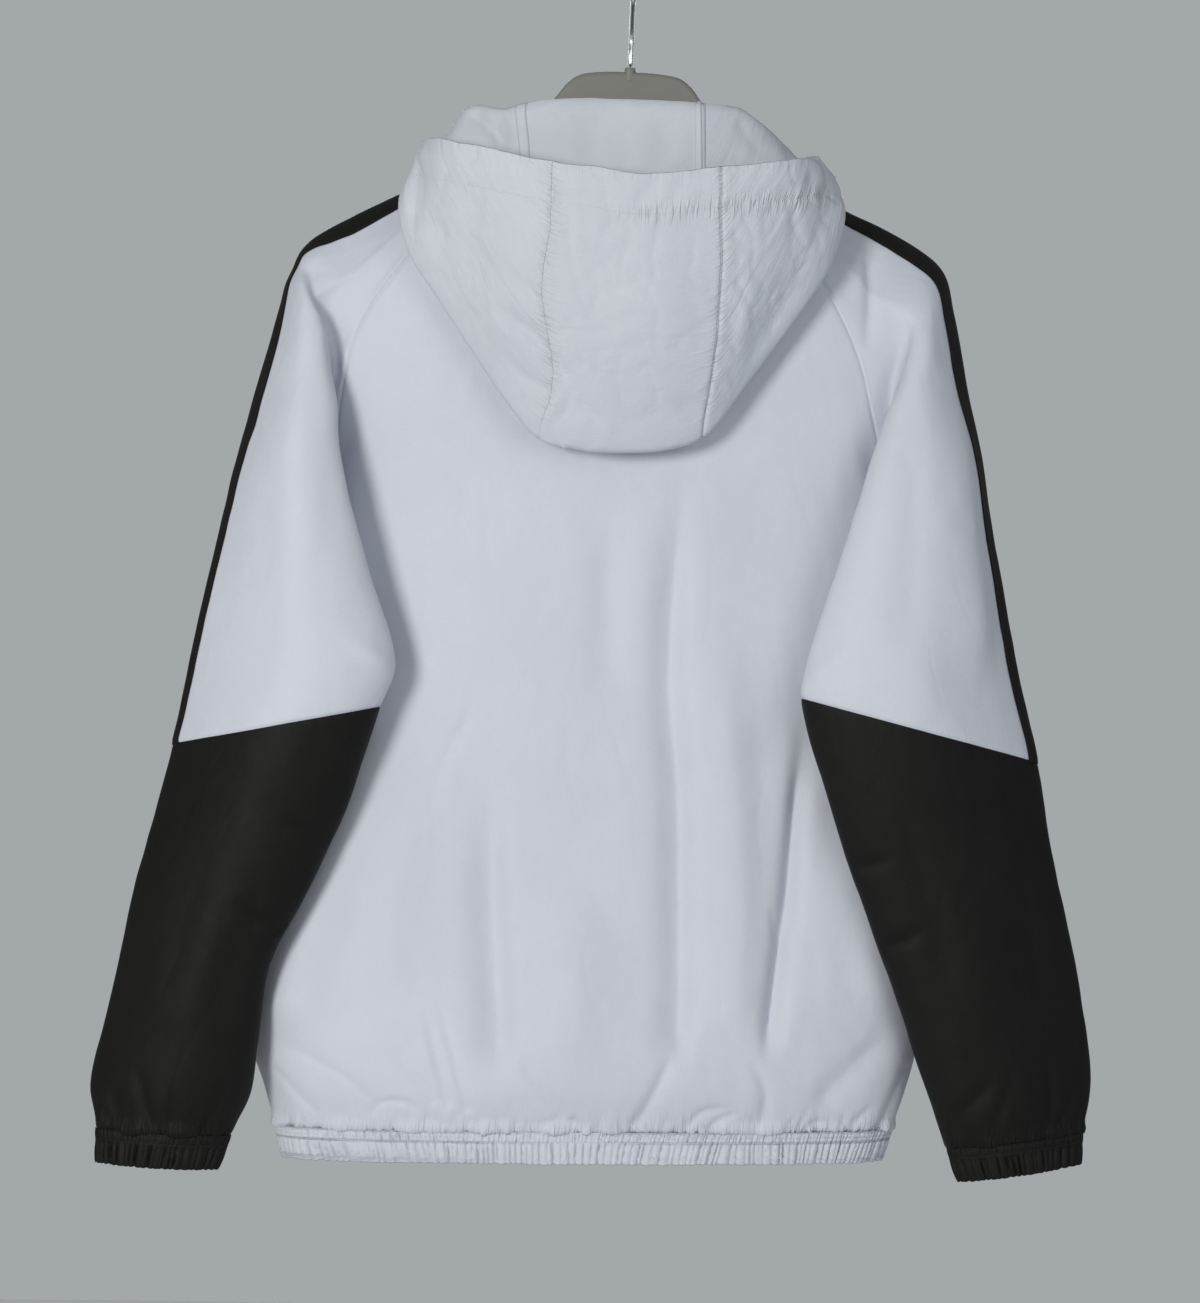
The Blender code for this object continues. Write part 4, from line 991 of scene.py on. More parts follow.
hemPoints, hemNormal = hemForm(hem["drops"])
clothShell("hemBand", hemPoints, hemNormal, hem["thickness"], finishes["pale"],
           pucker=puckerGrid(hemPoints, {"low": (0.5, 60)}))
print("hem band made")


# Sleeves

def sleeveForm(sideName, t, s):
    surface, side = sleeveCloth[sideName], sides[sideName]
    plain, normal = surface.at(t, s), surface.normal(t, s) * side
    raglan = (1 - smoothStep(t, armpit - 1.5, armpit))[:, None]
    shown = smoothStep(s, *sleeve["shownFrom"])
    facing = (shown + raglan * (1 - shown)) * (1 - smoothStep(s, *sleeve["shownTo"]))
    height = creaseHeight(plain, sleeve["folds"][sideName]) * facing
    height += 0.8 * creaseHeight(plain, hiddenFolds(sideName)) * smoothStep(s, *sleeve["hiddenFrom"])
    height += unevenness(plain, 41 + side, 1.0, 0.25) * smoothStep(t, 0, 2)[:, None]
    levels = np.linspace(sleeve["gathersFrom"], sleeve["cuffTop"], 40)
    below = surface.at(levels, s)
    above = [np.interp(t, levels, drop, left=99, right=0) for drop in edgeDistance(below, "low").T]
    above = np.stack(above, axis=1)
    height += gatherHeight(np.broadcast_to(runLength(below[-1]), above.shape), above, sleeve["gathers"], side)
    ends = smoothStep(s, 0, 0.5) * (1 - smoothStep(s, sleeve["last"] - 0.5, sleeve["last"]))
    height *= np.where(t[:, None] < armpit, ends[None], 1)
    return plain + normal * height[..., None], normal, plain


def hiddenFolds(sideName):
    # like those of the shown face, further along the sleeve
    return [([(x, z - 30) for x, z in path], *rest) for path, *rest in sleeve["folds"][sideName]]


def joinEnds(outer, normal, first=0):
    # a tube's last column lies on its first
    normal[first:, 0] = normal[first:, -1] = (normal[first:, 0] + normal[first:, -1]) / 2
    outer[first:, -1] = outer[first:, 0]


def makeSleeve(sideName):
    surface, title, pitch = sleeveCloth[sideName], sideName.title(), sleeve["pitch"]
    middle, seam = [3.0, 7.0], sleeve["panelSeam"]
    s = stations(surface, "s", [8.0, 11.0, 14.0], 0, sleeve["last"], pitch)
    upper = np.concatenate([
        stations(surface, "t", middle, 0, armpit, pitch, (1, 0))[:-1],
        stations(surface, "t", middle, armpit, seam, pitch, (0, 1)),
    ])
    outer, normal, plain = sleeveForm(sideName, upper, s)
    joined = int(np.searchsorted(upper, armpit - 1e-6))
    joinEnds(outer, normal, joined)
    outer = tuckSeams(outer, normal, ("top", "low"))
    outer[:joined] = tuckSeams(outer[:joined], normal[:joined], ("start", "end"))
    pullIn(outer, ("top", "low"), body["sewn"])
    pullIn(outer[:joined], ("start", "end"), body["sewn"])
    clothShell(f"sleeveUpper{title}", outer, normal, sleeve["thickness"], finishes["pale"], joined, plain,
               puckerGrid(plain, {"low": (0.2, 7)}))
    lower = stations(surface, "t", middle, seam, sleeve["cuffTop"], pitch)
    outer, normal, plain = sleeveForm(sideName, lower, s)
    joinEnds(outer, normal)
    outer = tuckSeams(outer, normal, ("top",), 0.3)
    outer = tuckSeams(outer, normal, ("low",))
    outer = overhang(outer, normal, 23 + sides[sideName])
    pullIn(outer, ("top", "low"), body["sewn"])
    clothShell(f"sleeveLower{title}", outer, normal, sleeve["thickness"], finishes["black"], 0, plain,
               puckerGrid(plain, {"low": (1.4, 9), "top": (0.2, 7)}))


cuff = {  # heights here are shares of the way down
    "middle": 17.5,
    "pitch": 0.78,
    "thickness": 0.9,
    "channel": 0.24,
    "casing": {
        "spacing": 4.4, "depth": 3.2, "width": 1.0, "seed": 61, "starts": (0.24, 0.36), "ends": (0.7, 1),
        "fades": 0.4, "bulge": 1.0, "roundness": 0.7, "span": (0.24, 1),
    },
    "fine": {
        "spacing": 2.5, "depth": 1.2, "width": 0.6, "seed": 71, "starts": (-0.08, 0.0), "ends": (0.16, 0.24),
        "fades": 1, "bulge": 0.5, "roundness": 1, "span": (0, 0.24),
    },
    "lift": 0.7,
    "drops": (-0.03, 0.01, 0.06, 0.12, 0.17, 0.21, 0.24, 0.27, 0.32, 0.4, 0.49, 0.58, 0.67, 0.76, 0.85, 0.92,
              0.97),
}


def cuffForm(sideName, drops):
    surface, side = sleeveCloth[sideName], sides[sideName]
    s = stations(surface, "s", [cuff["middle"]], 0, sleeve["last"], cuff["pitch"], (0, 0))
    drops = np.asarray(drops, float)
    t = sleeve["cuffTop"] + drops
    plain, normal = surface.at(t, s), surface.normal(t, s) * side
    length = runLength(plain[-1])
    along = length + 1.5 * softNoise(plain, (22, 22, 40), 6)
    height = bandHeight(cuff, drops, along, side, length[-1]) + cuff["lift"]
    outer = plain + normal * height[..., None]
    outer[..., 2] -= 0.5 * np.clip(height - 1.5, -2.5, 0.6) * smoothStep(drops, 0.5, 1)[:, None]
    joinEnds(outer, normal)
    return outer, normal


def makeCuff(sideName):
    outer, normal = cuffForm(sideName, cuff["drops"])
    clothShell(f"cuff{sideName.title()}", outer, normal, cuff["thickness"], finishes["black"], 0)


tape = {
    "lift": 0.35,
    "thickness": 0.6,
    "pitch": 1.9,
    "start": 0.12,  # it begins just below the neck seam
    "toBack": 3.0,
    "overSeam": 0.9,  # its lower end reaches the black cloth
    "tuck": (0.5, 2.5),
    "columns": 24,
    "rear": {  # how far its rear edge stands from the top line, by station
        "right": ((0, 16), (2, 18), (3, 20), (3.7, 23), (4.5, 23), (6, 21.5), (8, 19.5), (10, 15.5),
                  (11, 13.5)),
        "left": ((0, 18), (2, 19), (3, 21), (3.5, 19), (4.1, 11), (5, 14), (6, 17), (7.1, 18), (7.5, 15.5),
                 (9, 12.5), (11, 10)),
    },
}


def tapeForm(sideName, s):
    surface = sleeveCloth[sideName]
    t = stations(surface, "t", [7.0], 0, sleeve["panelSeam"], sleeve["pitch"])
    outer, normal, _ = sleeveForm(sideName, t, s)
    keep = t > tape["start"]
    outer, normal = outer[keep], normal[keep]
    pullIn(outer, ("low",), -tape["overSeam"])
    outer = tuckSeams(outer, normal, ("low",), *tape["tuck"])
    outer += normal * (tape["lift"] + tape["thickness"])
    rear = np.interp(t[keep], *np.transpose(tape["rear"][sideName]))
    rows = []
    for line, out, reach in zip(outer, normal, rear):  # each row is cut where the tape's rear edge runs
        length = runLength(line)
        first = np.interp(sleeve["topKey"], s, length) - reach
        places = np.linspace(max(first, 0), length[-1], tape["columns"])
        both = np.concatenate([line, out], axis=1)
        rows.append(np.transpose([np.interp(places, length, column) for column in both.T]))
    cut = np.array(rows)
    return cut[..., :3], cut[..., 3:]


def makeTape(sideName):
    surface, key = sleeveCloth[sideName], sleeve["topKey"]
    s = stations(surface, "s", [8.0], key - tape["toBack"], key + 1, tape["pitch"], (0, 0))
    outer, normal = tapeShapes[sideName] = tapeForm(sideName, s)
    clothShell(f"sleeveTape{sideName.title()}", outer, normal, tape["thickness"], finishes["black"])


tapeShapes = {}
for sideName in sides:
    makeSleeve(sideName)
    makeCuff(sideName)
    makeTape(sideName)
print("sleeves made")


# The hood: its sections run from the zip on the left round the centre of the back to the right.
# Each climbs from the neck seam to a fold, falls to the pouch's bottom and climbs to the face edge.

hood = {
    "seam": 2,
    "last": 14,
    "columns": ("foldX", "foldZ", "pouchX", "pouchZ", "edgeX", "edgeZ"),
    "centre": (-12, -104, 4, -350, 8, -160),
    "outline": {
        "right": (
            (20, -104, 32, -347, 36, -158), (49, -105, 61, -337, 66, -153),
            (66, -105, 89, -300, 92, -149), (80, -107, 113, -264, 112, -145),
            (92, -114, 132, -236, 124, -142), (104, -123, 147, -208, 134, -139),
            (113, -130, 154, -170, 144, -147), (104, -129, 130, -142, 146, -150),
            (97, -132, 117, -136, 137, -147), (90, -137, 110, -137, 128, -142),
            (86, -146, 100, -139, 114, -138), (68, -160, 79, -147, 88, -140),
            (39, -176, 45, -157, 50, -145), (3, -182, 3, -163, 3, -149),
        ),
        "left": (
            (44, -105, 26, -349, 22, -157), (74, -110, 53, -344, 51, -154),
            (86, -113, 80, -314, 84, -148), (97, -112, 103, -282, 104, -144),
            (106, -110, 125, -251, 120, -141), (114, -112, 150, -214, 132, -138),
            (119, -119, 157, -174, 142, -136), (106, -122, 130, -138, 145, -143),
            (97, -129, 117, -135, 137, -144), (90, -137, 110, -137, 128, -142),
            (86, -146, 100, -139, 114, -138), (68, -160, 79, -147, 88, -140),
            (39, -176, 45, -157, 50, -145), (3, -182, 3, -163, 3, -149),
        ),
    },
    "depthColumns": ("neck", "foldY", "innerY", "pouchY", "outerY", "edgeY"),
    "depths": (  # neck is the share of the way round the neck seam
        (0.00, -60, -60, -60, -98, -112), (0.11, -60, -60, -60, -97, -111), (0.20, -58, -58, -58, -93, -107),
        (0.27, -54, -57, -58, -90, -102), (0.31, -49, -56, -58, -84, -95), (0.35, -42, -54, -57, -77, -86),
        (0.38, -33, -49, -54, -65, -73), (0.42, -20, -34, -43, -49, -52), (0.46, -6, -11, -15, -21, -28),
        (0.51, 11, 9, 5, 0, -7), (0.57, 27, 26, 24, 20, 15), (0.65, 42, 43, 43, 42, 40),
        (0.73, 56, 60, 64, 66, 68), (0.86, 60, 65, 69, 73, 76), (1.00, 59.7, 62.5, 65.4, 67.5, 69.6),
    ),
    "neckGap": 0.8,
    "turn": 4.0,
    "standLift": 9.0,
    "thickness": 0.8,
    "pitch": 4.0,
    "rowPitch": 3.6,
    "shownPitch": 2.4,
    "faceHem": 27.0,  # from the face edge to the channel's stitch line
    "finerFrom": 6.5,  # these five count the sections' points, from the neck to the face edge
    "shownFrom": (6.2, 7.0),
    "outsideFrom": (7.2, 8.0),
    "insideFrom": (1.9, 2.4),
    "insideTo": (4.2, 5.0),
    "crumple": 0.9,
    "crispness": 0.15,
    "gatheredFrom": (-20, 20),  # where the face hem's gathers begin and end, across the shoulders
    "gatheredTo": (132, 150),
    "folds": (
        (((-96, -251), (-74, -264), (-54, -279)), -1.5, 4, 6, 0.4, 0.4, 0.1),
        (((-84, -225), (-68, -238), (-54, -248)), -1.3, 4, 5, 0.4, 0.4, 0.1),
        (((-66, -228), (-59, -244), (-54, -256)), -1.2, 3.5, 4, 0.4, 0.4, 0.1),
        (((-92, -246), (-64, -271), (-48, -292), (-39, -314)), -1.8, 4.5, 6, 0.4, 0.3, 0.3),
        (((-80, -292), (-62, -304), (-48, -316)), -1.4, 4, 5, 0.4, 0.4, 0.15),
        (((-145, -145), (-147, -174), (-148, -207)), -2.6, 3, 7, 0.6, 0.3, 0.3),
        (((-6, -332), (-22, -318), (-30, -300)), -1.1, 4, 5, 0.2, 0.2, 0.5),
        (((122, -136), (138, -145), (141, -166)), -2.6, 3, 5, 0.5, 0.2, 0.3),
        (((128, -148), (126, -164), (118, -176)), -1.8, 3.5, 5, 0.4, 0.2, 0.4),
        (((88, -292), (112, -246), (132, -196)), -2.4, 9, 12, 0.1, 0.3, 0.4),
        (((96, -210), (86, -250), (80, -286)), 1.6, 8, 9, 0.0, 0.4, 0.4),
        (((112, -168), (118, -190), (114, -214)), -1.5, 5, 6, 0.3, 0.3, 0.4),
        (((-108, -230), (-84, -262), (-66, -288)), 1.4, 8, 8, 0.0, 0.4, 0.4),
        (((22, -162), (12, -176), (0, -196)), -1.3, 4, 5, 0.3, 0.2, 0.4),
        (((44, -158), (34, -172), (26, -190)), -1.0, 3.5, 4, 0.3, 0.2, 0.4),
        (((70, -196), (82, -204), (96, -206)), -1.3, 4, 4, 0.4, 0.2, 0.5),
        (((72, -226), (84, -238), (92, -252)), -1.2, 4, 4, 0.3, 0.2, 0.5),
        (((68, -268), (76, -274), (80, -284)), -1.2, 3, 4, 0.4, 0.1, 0.5),
        (((64, -300), (74, -306), (84, -304)), -1.1, 3, 4, 0.3, 0.2, 0.5),
        (((60, -330), (50, -318), (36, -306)), -1.0, 4, 5, 0.2, 0.2, 0.5),
        (((112, -160), (104, -178), (92, -192)), -1.4, 5, 6, 0.3, 0.2, 0.5),
        (((-10, -200), (-16, -250), (-8, -300)), -1.8, 16, 18, 0.0, 0.4, 0.4),
        (((30, -210), (36, -260), (30, -310)), 1.6, 16, 16, 0.0, 0.4, 0.4),
        (((-55, -348), (-50, -326), (-42, -298)), 2.6, 5, 7, 0.2, 0.02, 0.6),
        (((-112, -160), (-104, -200), (-92, -240)), -1.5, 12, 14, 0.0, 0.3, 0.4),
    ),
    "bends": (  # how far each seam wanders, at the heights given
        (-50, 22, ((-160, 0), (-200, 1), (-222, -2), (-244, -3), (-272, 3), (-296, 8), (-320, 6), (-344, 0))),
        (64, 20, ((-155, 0), (-185, 2), (-215, 5), (-268, 5.5), (-298, 3.5), (-337, 0))),
    ),
    "innerFolds": (
        (((-112, -114), (-98, -126), (-82, -142)), -3.4, 5, 8, 0.4, 0.2, 0.2),
        (((-86, -112), (-92, -126), (-84, -150)), -1.4, 4, 6, 0.3, 0.2, 0.3),
        (((-30, -112), (-24, -130), (-30, -160)), -1.2, 10, 12, 0.0, 0.3, 0.3),
        (((22, -110), (26, -130), (20, -160)), -1.2, 10, 10, 0.0, 0.3, 0.3),
        (((74, -112), (84, -126), (100, -140)), -1.6, 6, 8, 0.3, 0.2, 0.3),
    ),
}


def neckRing(sideName):
    parts = (
        (backCloth, 4, 4 + 4 * sides[sideName]),
        (sleeveCloth[sideName], 0, sleeve["last"]),
        (frontCloth[sideName], 4, 0),
    )
    start = np.array([0.0])
    return np.concatenate([part.at(start, np.linspace(a, b, 60))[0] for part, a, b in parts])


def hoodSection(index, sideName, ring):
    mirror = 1 if index == 0 else sides[sideName]
    shape = hood["centre"] if index == 0 else hood["outline"][sideName][index - 1]
    outline = dict(zip(hood["columns"], shape))
    depth = dict(zip(hood["depthColumns"], hood["depths"][index]))
    length = runLength(ring)
    neck = np.array([np.interp(depth["neck"] * length[-1], length, column) for column in ring.T])
    neck[2] += hood["neckGap"]
    if index == hood["last"]:
        neck[0] = sides[sideName] * body["zipHalf"]
    fold, pouch, edge = (
        np.array([mirror * outline[key + "X"], depth[key + "Y"], outline[key + "Z"]])
        for key in ("fold", "pouch", "edge")
    )
    inner, outer = lerp(fold, pouch, 0.5), lerp(pouch, edge, 0.5)
    inner[1], outer[1] = depth["innerY"], depth["outerY"]
    falling, climbing = ((b - a) / np.linalg.norm(b - a) for a, b in ((inner, pouch), (pouch, outer)))
    turn = np.array([0, hood["turn"] * (1 - falling @ climbing) / 2, 0])
    lift = hood["standLift"] if index < hood["last"] else 0
    return [
        neck, lerp(neck, fold, 0.45) + turn * 0.5 + (0, 0, lift), fold, lerp(fold, inner, 0.25) - turn,
        inner, lerp(pouch, inner, 0.3) + turn, pouch, lerp(pouch, outer, 0.35) - turn, outer,
        lerp(edge, outer, 0.3) - turn * 0.3, edge,
    ]


def hoodSurface():
    rows = []
    for sideName in ("left", "right"):
        ring = neckRing(sideName)
        order = range(hood["last"], 0, -1) if sideName == "left" else range(hood["last"] + 1)
        rows += [extend(hoodSection(index, sideName, ring)) for index in order]
    return ClothSurface(rows)


hoodCloth = hoodSurface()


def hoodForm(t, s, passes=10):
    plain = hoodCloth.at(t, s)
    normal = evened(hoodCloth.normal(t, s), passes)
    showing, outside = smoothStep(s, *hood["shownFrom"]), smoothStep(s, *hood["outsideFrom"])
    inside = smoothStep(s, *hood["insideFrom"]) * (1 - smoothStep(s, *hood["insideTo"]))
    height = creaseHeight(plain, hood["folds"]) * showing
    height -= creaseHeight(plain, hood["innerFolds"]) * inside
    height += unevenness(plain, 81, 0.8, 0.3) * smoothStep(s, 1, 2)
    # a thin crease wherever a slow noise passes its middle
    crumple = np.abs(softNoise(plain, (19, 19, 34), 91) + 0.4 * softNoise(plain, (8, 9, 13), 92))
    height -= hood["crumple"] * np.exp(-crumple / hood["crispness"]) * showing
    # the face hem is gathered to the right of the middle
    fromEdge = edgeDistance(plain, "end")
    fromSeam = fromEdge - hood["faceHem"]
    gathered = smoothStep(plain[..., 0], *hood["gatheredFrom"])
    seamLine = np.exp(-((fromSeam / 1.6) ** 2)) * (0.2 + 0.8 * gathered)
    channel = np.exp(-(((fromEdge - hood["faceHem"] * 0.5) / 9.0) ** 2))
    pucker = 0.08 + 0.92 * gathered * (1 - smoothStep(plain[..., 0], *hood["gatheredTo"]))
    waves = np.sin(plain[..., 0] / 0.95 + 2.5 * softNoise(plain, (11, 11, 11), 7))
    waves *= np.exp(-((fromSeam / 6.0) ** 2)) * (0.5 + 0.5 * softNoise(plain, (16, 16, 16), 15))
    height += (channel * 0.9 - seamLine * 0.9 + 0.8 * waves * pucker) * outside
    height += 1.3 * softNoise(plain, (19, 24, 60), 33) * np.exp(-fromEdge / 14)
    final = 2 * hood["last"]
    calm = np.minimum(smoothStep(t, 0, 1.2), 1 - smoothStep(t, final - 1.2, final))[:, None]
    outer = plain + normal * (height * calm)[..., None]
    wander = 0.9 * softNoise(plain, (15, 20, 40), 37) + 0.35 * softNoise(plain, (5, 7, 20), 39)
    outer[..., 2] += calm * np.exp(-fromEdge / 7) * wander
    for middle, reach, path in hood["bends"]:
        drops, steps = np.array(path, float)[::-1].T
        bend = np.interp(outer[..., 2], drops, steps) * np.exp(-(((outer[..., 0] - middle) / reach) ** 2))
        outer[..., 0] += bend * showing
    puckered = np.zeros(outer.shape)
    puckered[..., 1] = np.exp(-((fromSeam / 6.5) ** 2)) * pucker * outside + 0.35 * np.exp(-fromEdge / 5)
    return outer, normal, plain, puckered


def makeHood():
    centre, seam, last = hood["last"], hood["seam"], 2 * hood["last"]
    levels, across, split = [2.0, 6.0, 8.0, 10.0], [13.0, 15.0, 9.0], hood["finerFrom"]
    s = np.concatenate([
        stations(hoodCloth, "s", across, 0, split, hood["rowPitch"], (1, 0))[:-1],
        stations(hoodCloth, "s", across, split, 10, hood["shownPitch"], (0, 1)),
    ])
    for name, first, final, seams, tucks in (
        ("hoodSideLeft", 0, centre - seam, ("low",), (0.7,)),
        ("hoodCentre", centre - seam, centre + seam, ("top", "low"), (0.7, 1.7)),
        ("hoodSideRight", centre + seam, last, ("top",), (1.7,)),
    ):
        middle = {0: 7, centre + seam: last - 7}.get(first, first)
        before = hood["pitch"] if first == 0 else hood["shownPitch"]
        after = hood["pitch"] if final == last else hood["shownPitch"]
        t = stations(hoodCloth, "t", levels, middle, final, after, (middle == first, 1))
        if middle > first:
            t = np.concatenate([stations(hoodCloth, "t", levels, first, middle, before, (1, 0))[:-1], t])
        outer, normal, plain, puckered = hoodForm(t, s)
        # the side seams run up the panels' ends, so their wrinkles lie across
        besideSeam = puckerGrid(plain, {edge: (0.75, 6) for edge in seams})[..., 0]
        puckered[..., 0] = besideSeam * smoothStep(s, *hood["shownFrom"])
        for edge, depth in zip(seams, tucks):
            outer = tuckSeams(outer, normal, (edge,), depth, 1.7)
        pullIn(outer, seams, body["sewn"])
        pullIn(outer, ("start",), -0.6)  # the neck edge reaches into the neck seam
        if first == 0:
            outer[0, :, 0] = -(body["zipHalf"] + clothGap)
        if final == last:
            outer[-1, :, 0] = body["zipHalf"] + clothGap
        clothShell(name, outer, normal, hood["thickness"], finishes["hood"], flat=plain, pucker=puckered,
                   edge="top" if name == "hoodSideRight" else "low")


makeHood()
print("hood made")


# Sewing. A row of stitches is a line of points with the way out of the cloth at each.

stitch = {"length": 2.3, "width": 0.42, "height": 0.34, "pitch": 3.0, "seed": 3}
stitchRows = {"pale": [], "black": []}


sewing = {  # how far each row lies from its seam, and how far it stands out of the cloth
    "tape": (1.6, 0.1), "raglan": (2.2, -0.1), "panelSeam": (2.0, -0.15), "cuff": (0.1, 0.2),
    "hoodSeam": (2.4, -0.1), "zip": (3.5, 0.3), "plain": (0, 0.15),
}


def sewBeside(kind, points, inward, normal, place):
    # a row beside a seam: inward are the points of the cloth next to it
    distance, lift = sewing[place]
    step = inward - points
    step = step / np.maximum(np.linalg.norm(step, axis=-1, keepdims=True), 1e-9)
    stitchRows[kind].append((points + step * distance + normal * lift, normal))


def sewOn(points, normal, place="plain", side=1):
    # a row on the pale cloth itself
    distance, lift = sewing[place]
    stitchRows["pale"].append((points + (side * distance, 0, 0) + normal * lift, normal))


def sewSleeve(sideName):
    line, normal = tapeShapes[sideName]
    for place, beyond in ((0, 1), (-1, -2)):
        sewBeside("black", line[:, place], line[:, beyond], normal[:, place], "tape")
    t = np.linspace(0.2, armpit - 0.1, 160)
    for place, beyond in ((0, 0.4), (sleeve["last"], sleeve["last"] - 0.4)):
        line, normal, _ = sleeveForm(sideName, t, np.array([place, beyond]))
        sewBeside("pale", line[:, 0], line[:, 1], normal[:, 0], "raglan")
    s = np.linspace(0, sleeve["last"], 160)
    line, normal, _ = sleeveForm(sideName, np.array([sleeve["panelSeam"], sleeve["panelSeam"] - 0.2]), s)
    sewBeside("pale", line[0], line[1], normal[0], "panelSeam")
    for level in (0.03, cuff["channel"]):
        line, normal = cuffForm(sideName, [level, level + 0.02])
        sewBeside("black", line[0], line[1], normal[0], "cuff")


def sewHood():
    centre, seam = hood["last"], hood["seam"]
    s = np.linspace(0.4, 9.9, 300)
    for place, beyond in ((centre - seam, centre - seam + 0.15), (centre + seam, centre + seam - 0.15)):
        line, normal = hoodForm(np.array([place - 0.2, place, beyond, beyond + 0.1]), s, 0)[:2]
        sewBeside("pale", line[1], line[2], normal[1], "hoodSeam")
    # the channel's row follows the face edge at the hem's width
    line, normal, plain = hoodForm(np.linspace(5.5, 22.5, 420), np.linspace(7.0, 10, 90), 0)[:3]
    fromEdge = edgeDistance(plain, "end")
    row = np.flatnonzero(fromEdge[:, 0] > hood["faceHem"] + 8)
    place = (fromEdge > hood["faceHem"]).sum(axis=1)[row] - 1
    sewOn(line[row, place], normal[row, place])


for sideName in sides:
    sewSleeve(sideName)
    line, normal = frontGrids[sideName]
    sewOn(line[2:-3, 2], normal[2:-3, 2], "zip", sides[sideName])
sewHood()
for drop in (0.9, hem["channel"]):
    line, normal = hemForm([drop, drop + 0.1])
    sewOn(line[0], normal[0])


def makeTree(name, inputs):
    tree = bpy.data.node_groups.new(name, "GeometryNodeTree")
    tree.interface.new_socket("Geometry", in_out="INPUT", socket_type="NodeSocketGeometry")
    for label, kind in inputs.items():
        tree.interface.new_socket(label, in_out="INPUT", socket_type=kind)
    tree.interface.new_socket("Geometry", in_out="OUTPUT", socket_type="NodeSocketGeometry")
    return tree, tree.nodes.new("NodeGroupInput"), tree.nodes.new("NodeGroupOutput")


def addNode(tree, kind, settings=None, sockets=None):
    node = tree.nodes.new(kind)
    for key, value in (settings or {}).items():
        setattr(node, key, value)
    for key, value in (sockets or {}).items():
        if isinstance(value, bpy.types.NodeSocket):
            tree.links.new(value, node.inputs[key])
        else:
            node.inputs[key].default_value = value
    return node


def repeatTree(name):
    # small rounded bodies along lines, turned to each line and to the way out of the cloth
    tree, given, result = makeTree(name, {
        "Pitch": "NodeSocketFloat", "Length": "NodeSocketFloat", "Width": "NodeSocketFloat",
        "Height": "NodeSocketFloat", "Seed": "NodeSocketInt", "Finish": "NodeSocketMaterial",
    })
    line = addNode(tree, "GeometryNodeMeshToCurve", None, {"Mesh": given.outputs["Geometry"]})
    even = addNode(tree, "GeometryNodeResampleCurve", {"mode": "LENGTH"},
                   {"Curve": line.outputs[0], "Length": given.outputs["Pitch"]})
    tangent = addNode(tree, "GeometryNodeInputTangent")
    outward = addNode(tree, "GeometryNodeInputNamedAttribute", {"data_type": "FLOAT_VECTOR"},
                      {"Name": "outward"})
    turned = addNode(tree, "FunctionNodeAlignRotationToVector", {"axis": "X"}, {"Vector": tangent.outputs[0]})
    lifted = addNode(tree, "FunctionNodeAlignRotationToVector", {"axis": "Z", "pivot_axis": "X"},
                     {"Rotation": turned.outputs[0], "Vector": outward.outputs[0]})
    size = addNode(tree, "ShaderNodeCombineXYZ", None, {
        0: given.outputs["Length"], 1: given.outputs["Width"], 2: given.outputs["Height"]})
    uneven = addNode(tree, "FunctionNodeRandomValue", {"data_type": "FLOAT"},
                     {2: 0.85, 3: 1.08, "Seed": given.outputs["Seed"]})
    scaled = addNode(tree, "ShaderNodeVectorMath", {"operation": "SCALE"},
                     {0: size.outputs[0], "Scale": uneven.outputs[1]})
    bead = addNode(tree, "GeometryNodeMeshUVSphere", None, {"Segments": 5, "Rings": 3, "Radius": 0.5})
    # the sphere's poles lie along Z, so it is turned to lie along the thread
    laid = addNode(tree, "GeometryNodeTransform", None,
                   {"Geometry": bead.outputs["Mesh"], "Rotation": (0, math.pi / 2, 0)})
    placed = addNode(tree, "GeometryNodeInstanceOnPoints", None, {
        "Points": even.outputs[0], "Instance": laid.outputs[0], "Rotation": lifted.outputs[0],
        "Scale": scaled.outputs[0]})
    real = addNode(tree, "GeometryNodeRealizeInstances", None, {0: placed.outputs[0]})
    smooth = addNode(tree, "GeometryNodeSetShadeSmooth", None, {0: real.outputs[0]})
    done = addNode(tree, "GeometryNodeSetMaterial", None,
                   {"Geometry": smooth.outputs[0], "Material": given.outputs["Finish"]})
    tree.links.new(done.outputs[0], result.inputs[0])
    return tree


def lineObject(name, rows):
    points, edges, outward = [], [], []
    for line, normal in rows:
        first = len(points)
        points += (line * mm).tolist()
        outward += normal.tolist()
        edges += [(first + i, first + i + 1) for i in range(len(line) - 1)]
    mesh = bpy.data.meshes.new(name)
    mesh.from_pydata(points, edges, [])
    layer = mesh.attributes.new("outward", "FLOAT_VECTOR", "POINT")
    layer.data.foreach_set("vector", np.array(outward, dtype=np.float32).ravel())
    return putIn(name, mesh)


def repeatAlong(name, rows, look, bead):
    # runs the tree on the rows and keeps the plain mesh that it gives
    values = {label.title(): bead[label] * mm for label in ("pitch", "length", "width", "height")}
    values.update({"Seed": bead["seed"], "Finish": finishes[look]})
    source = lineObject(name + "Lines", rows)
    grower = source.modifiers.new("grow", "NODES")
    grower.node_group = repeats
    for item in repeats.interface.items_tree:
        if item.item_type == "SOCKET" and item.in_out == "INPUT" and item.name in values:
            grower[item.identifier] = values[item.name]
    grown = source.evaluated_get(bpy.context.evaluated_depsgraph_get())
    mesh = bpy.data.meshes.new_from_object(grown)
    bpy.data.objects.remove(source)
    mesh.name = name
    mesh.materials.clear()
    addPiece(name, mesh, finishes[look])
    for face in mesh.polygons:
        face.material_index = 0


repeats = repeatTree("repeatAlongLine")
for kind in stitchRows:
    repeatAlong("stitching" + kind.title(), stitchRows[kind], kind + "Thread", stitch)
print("sewing done")


# Bound seams inside the hood

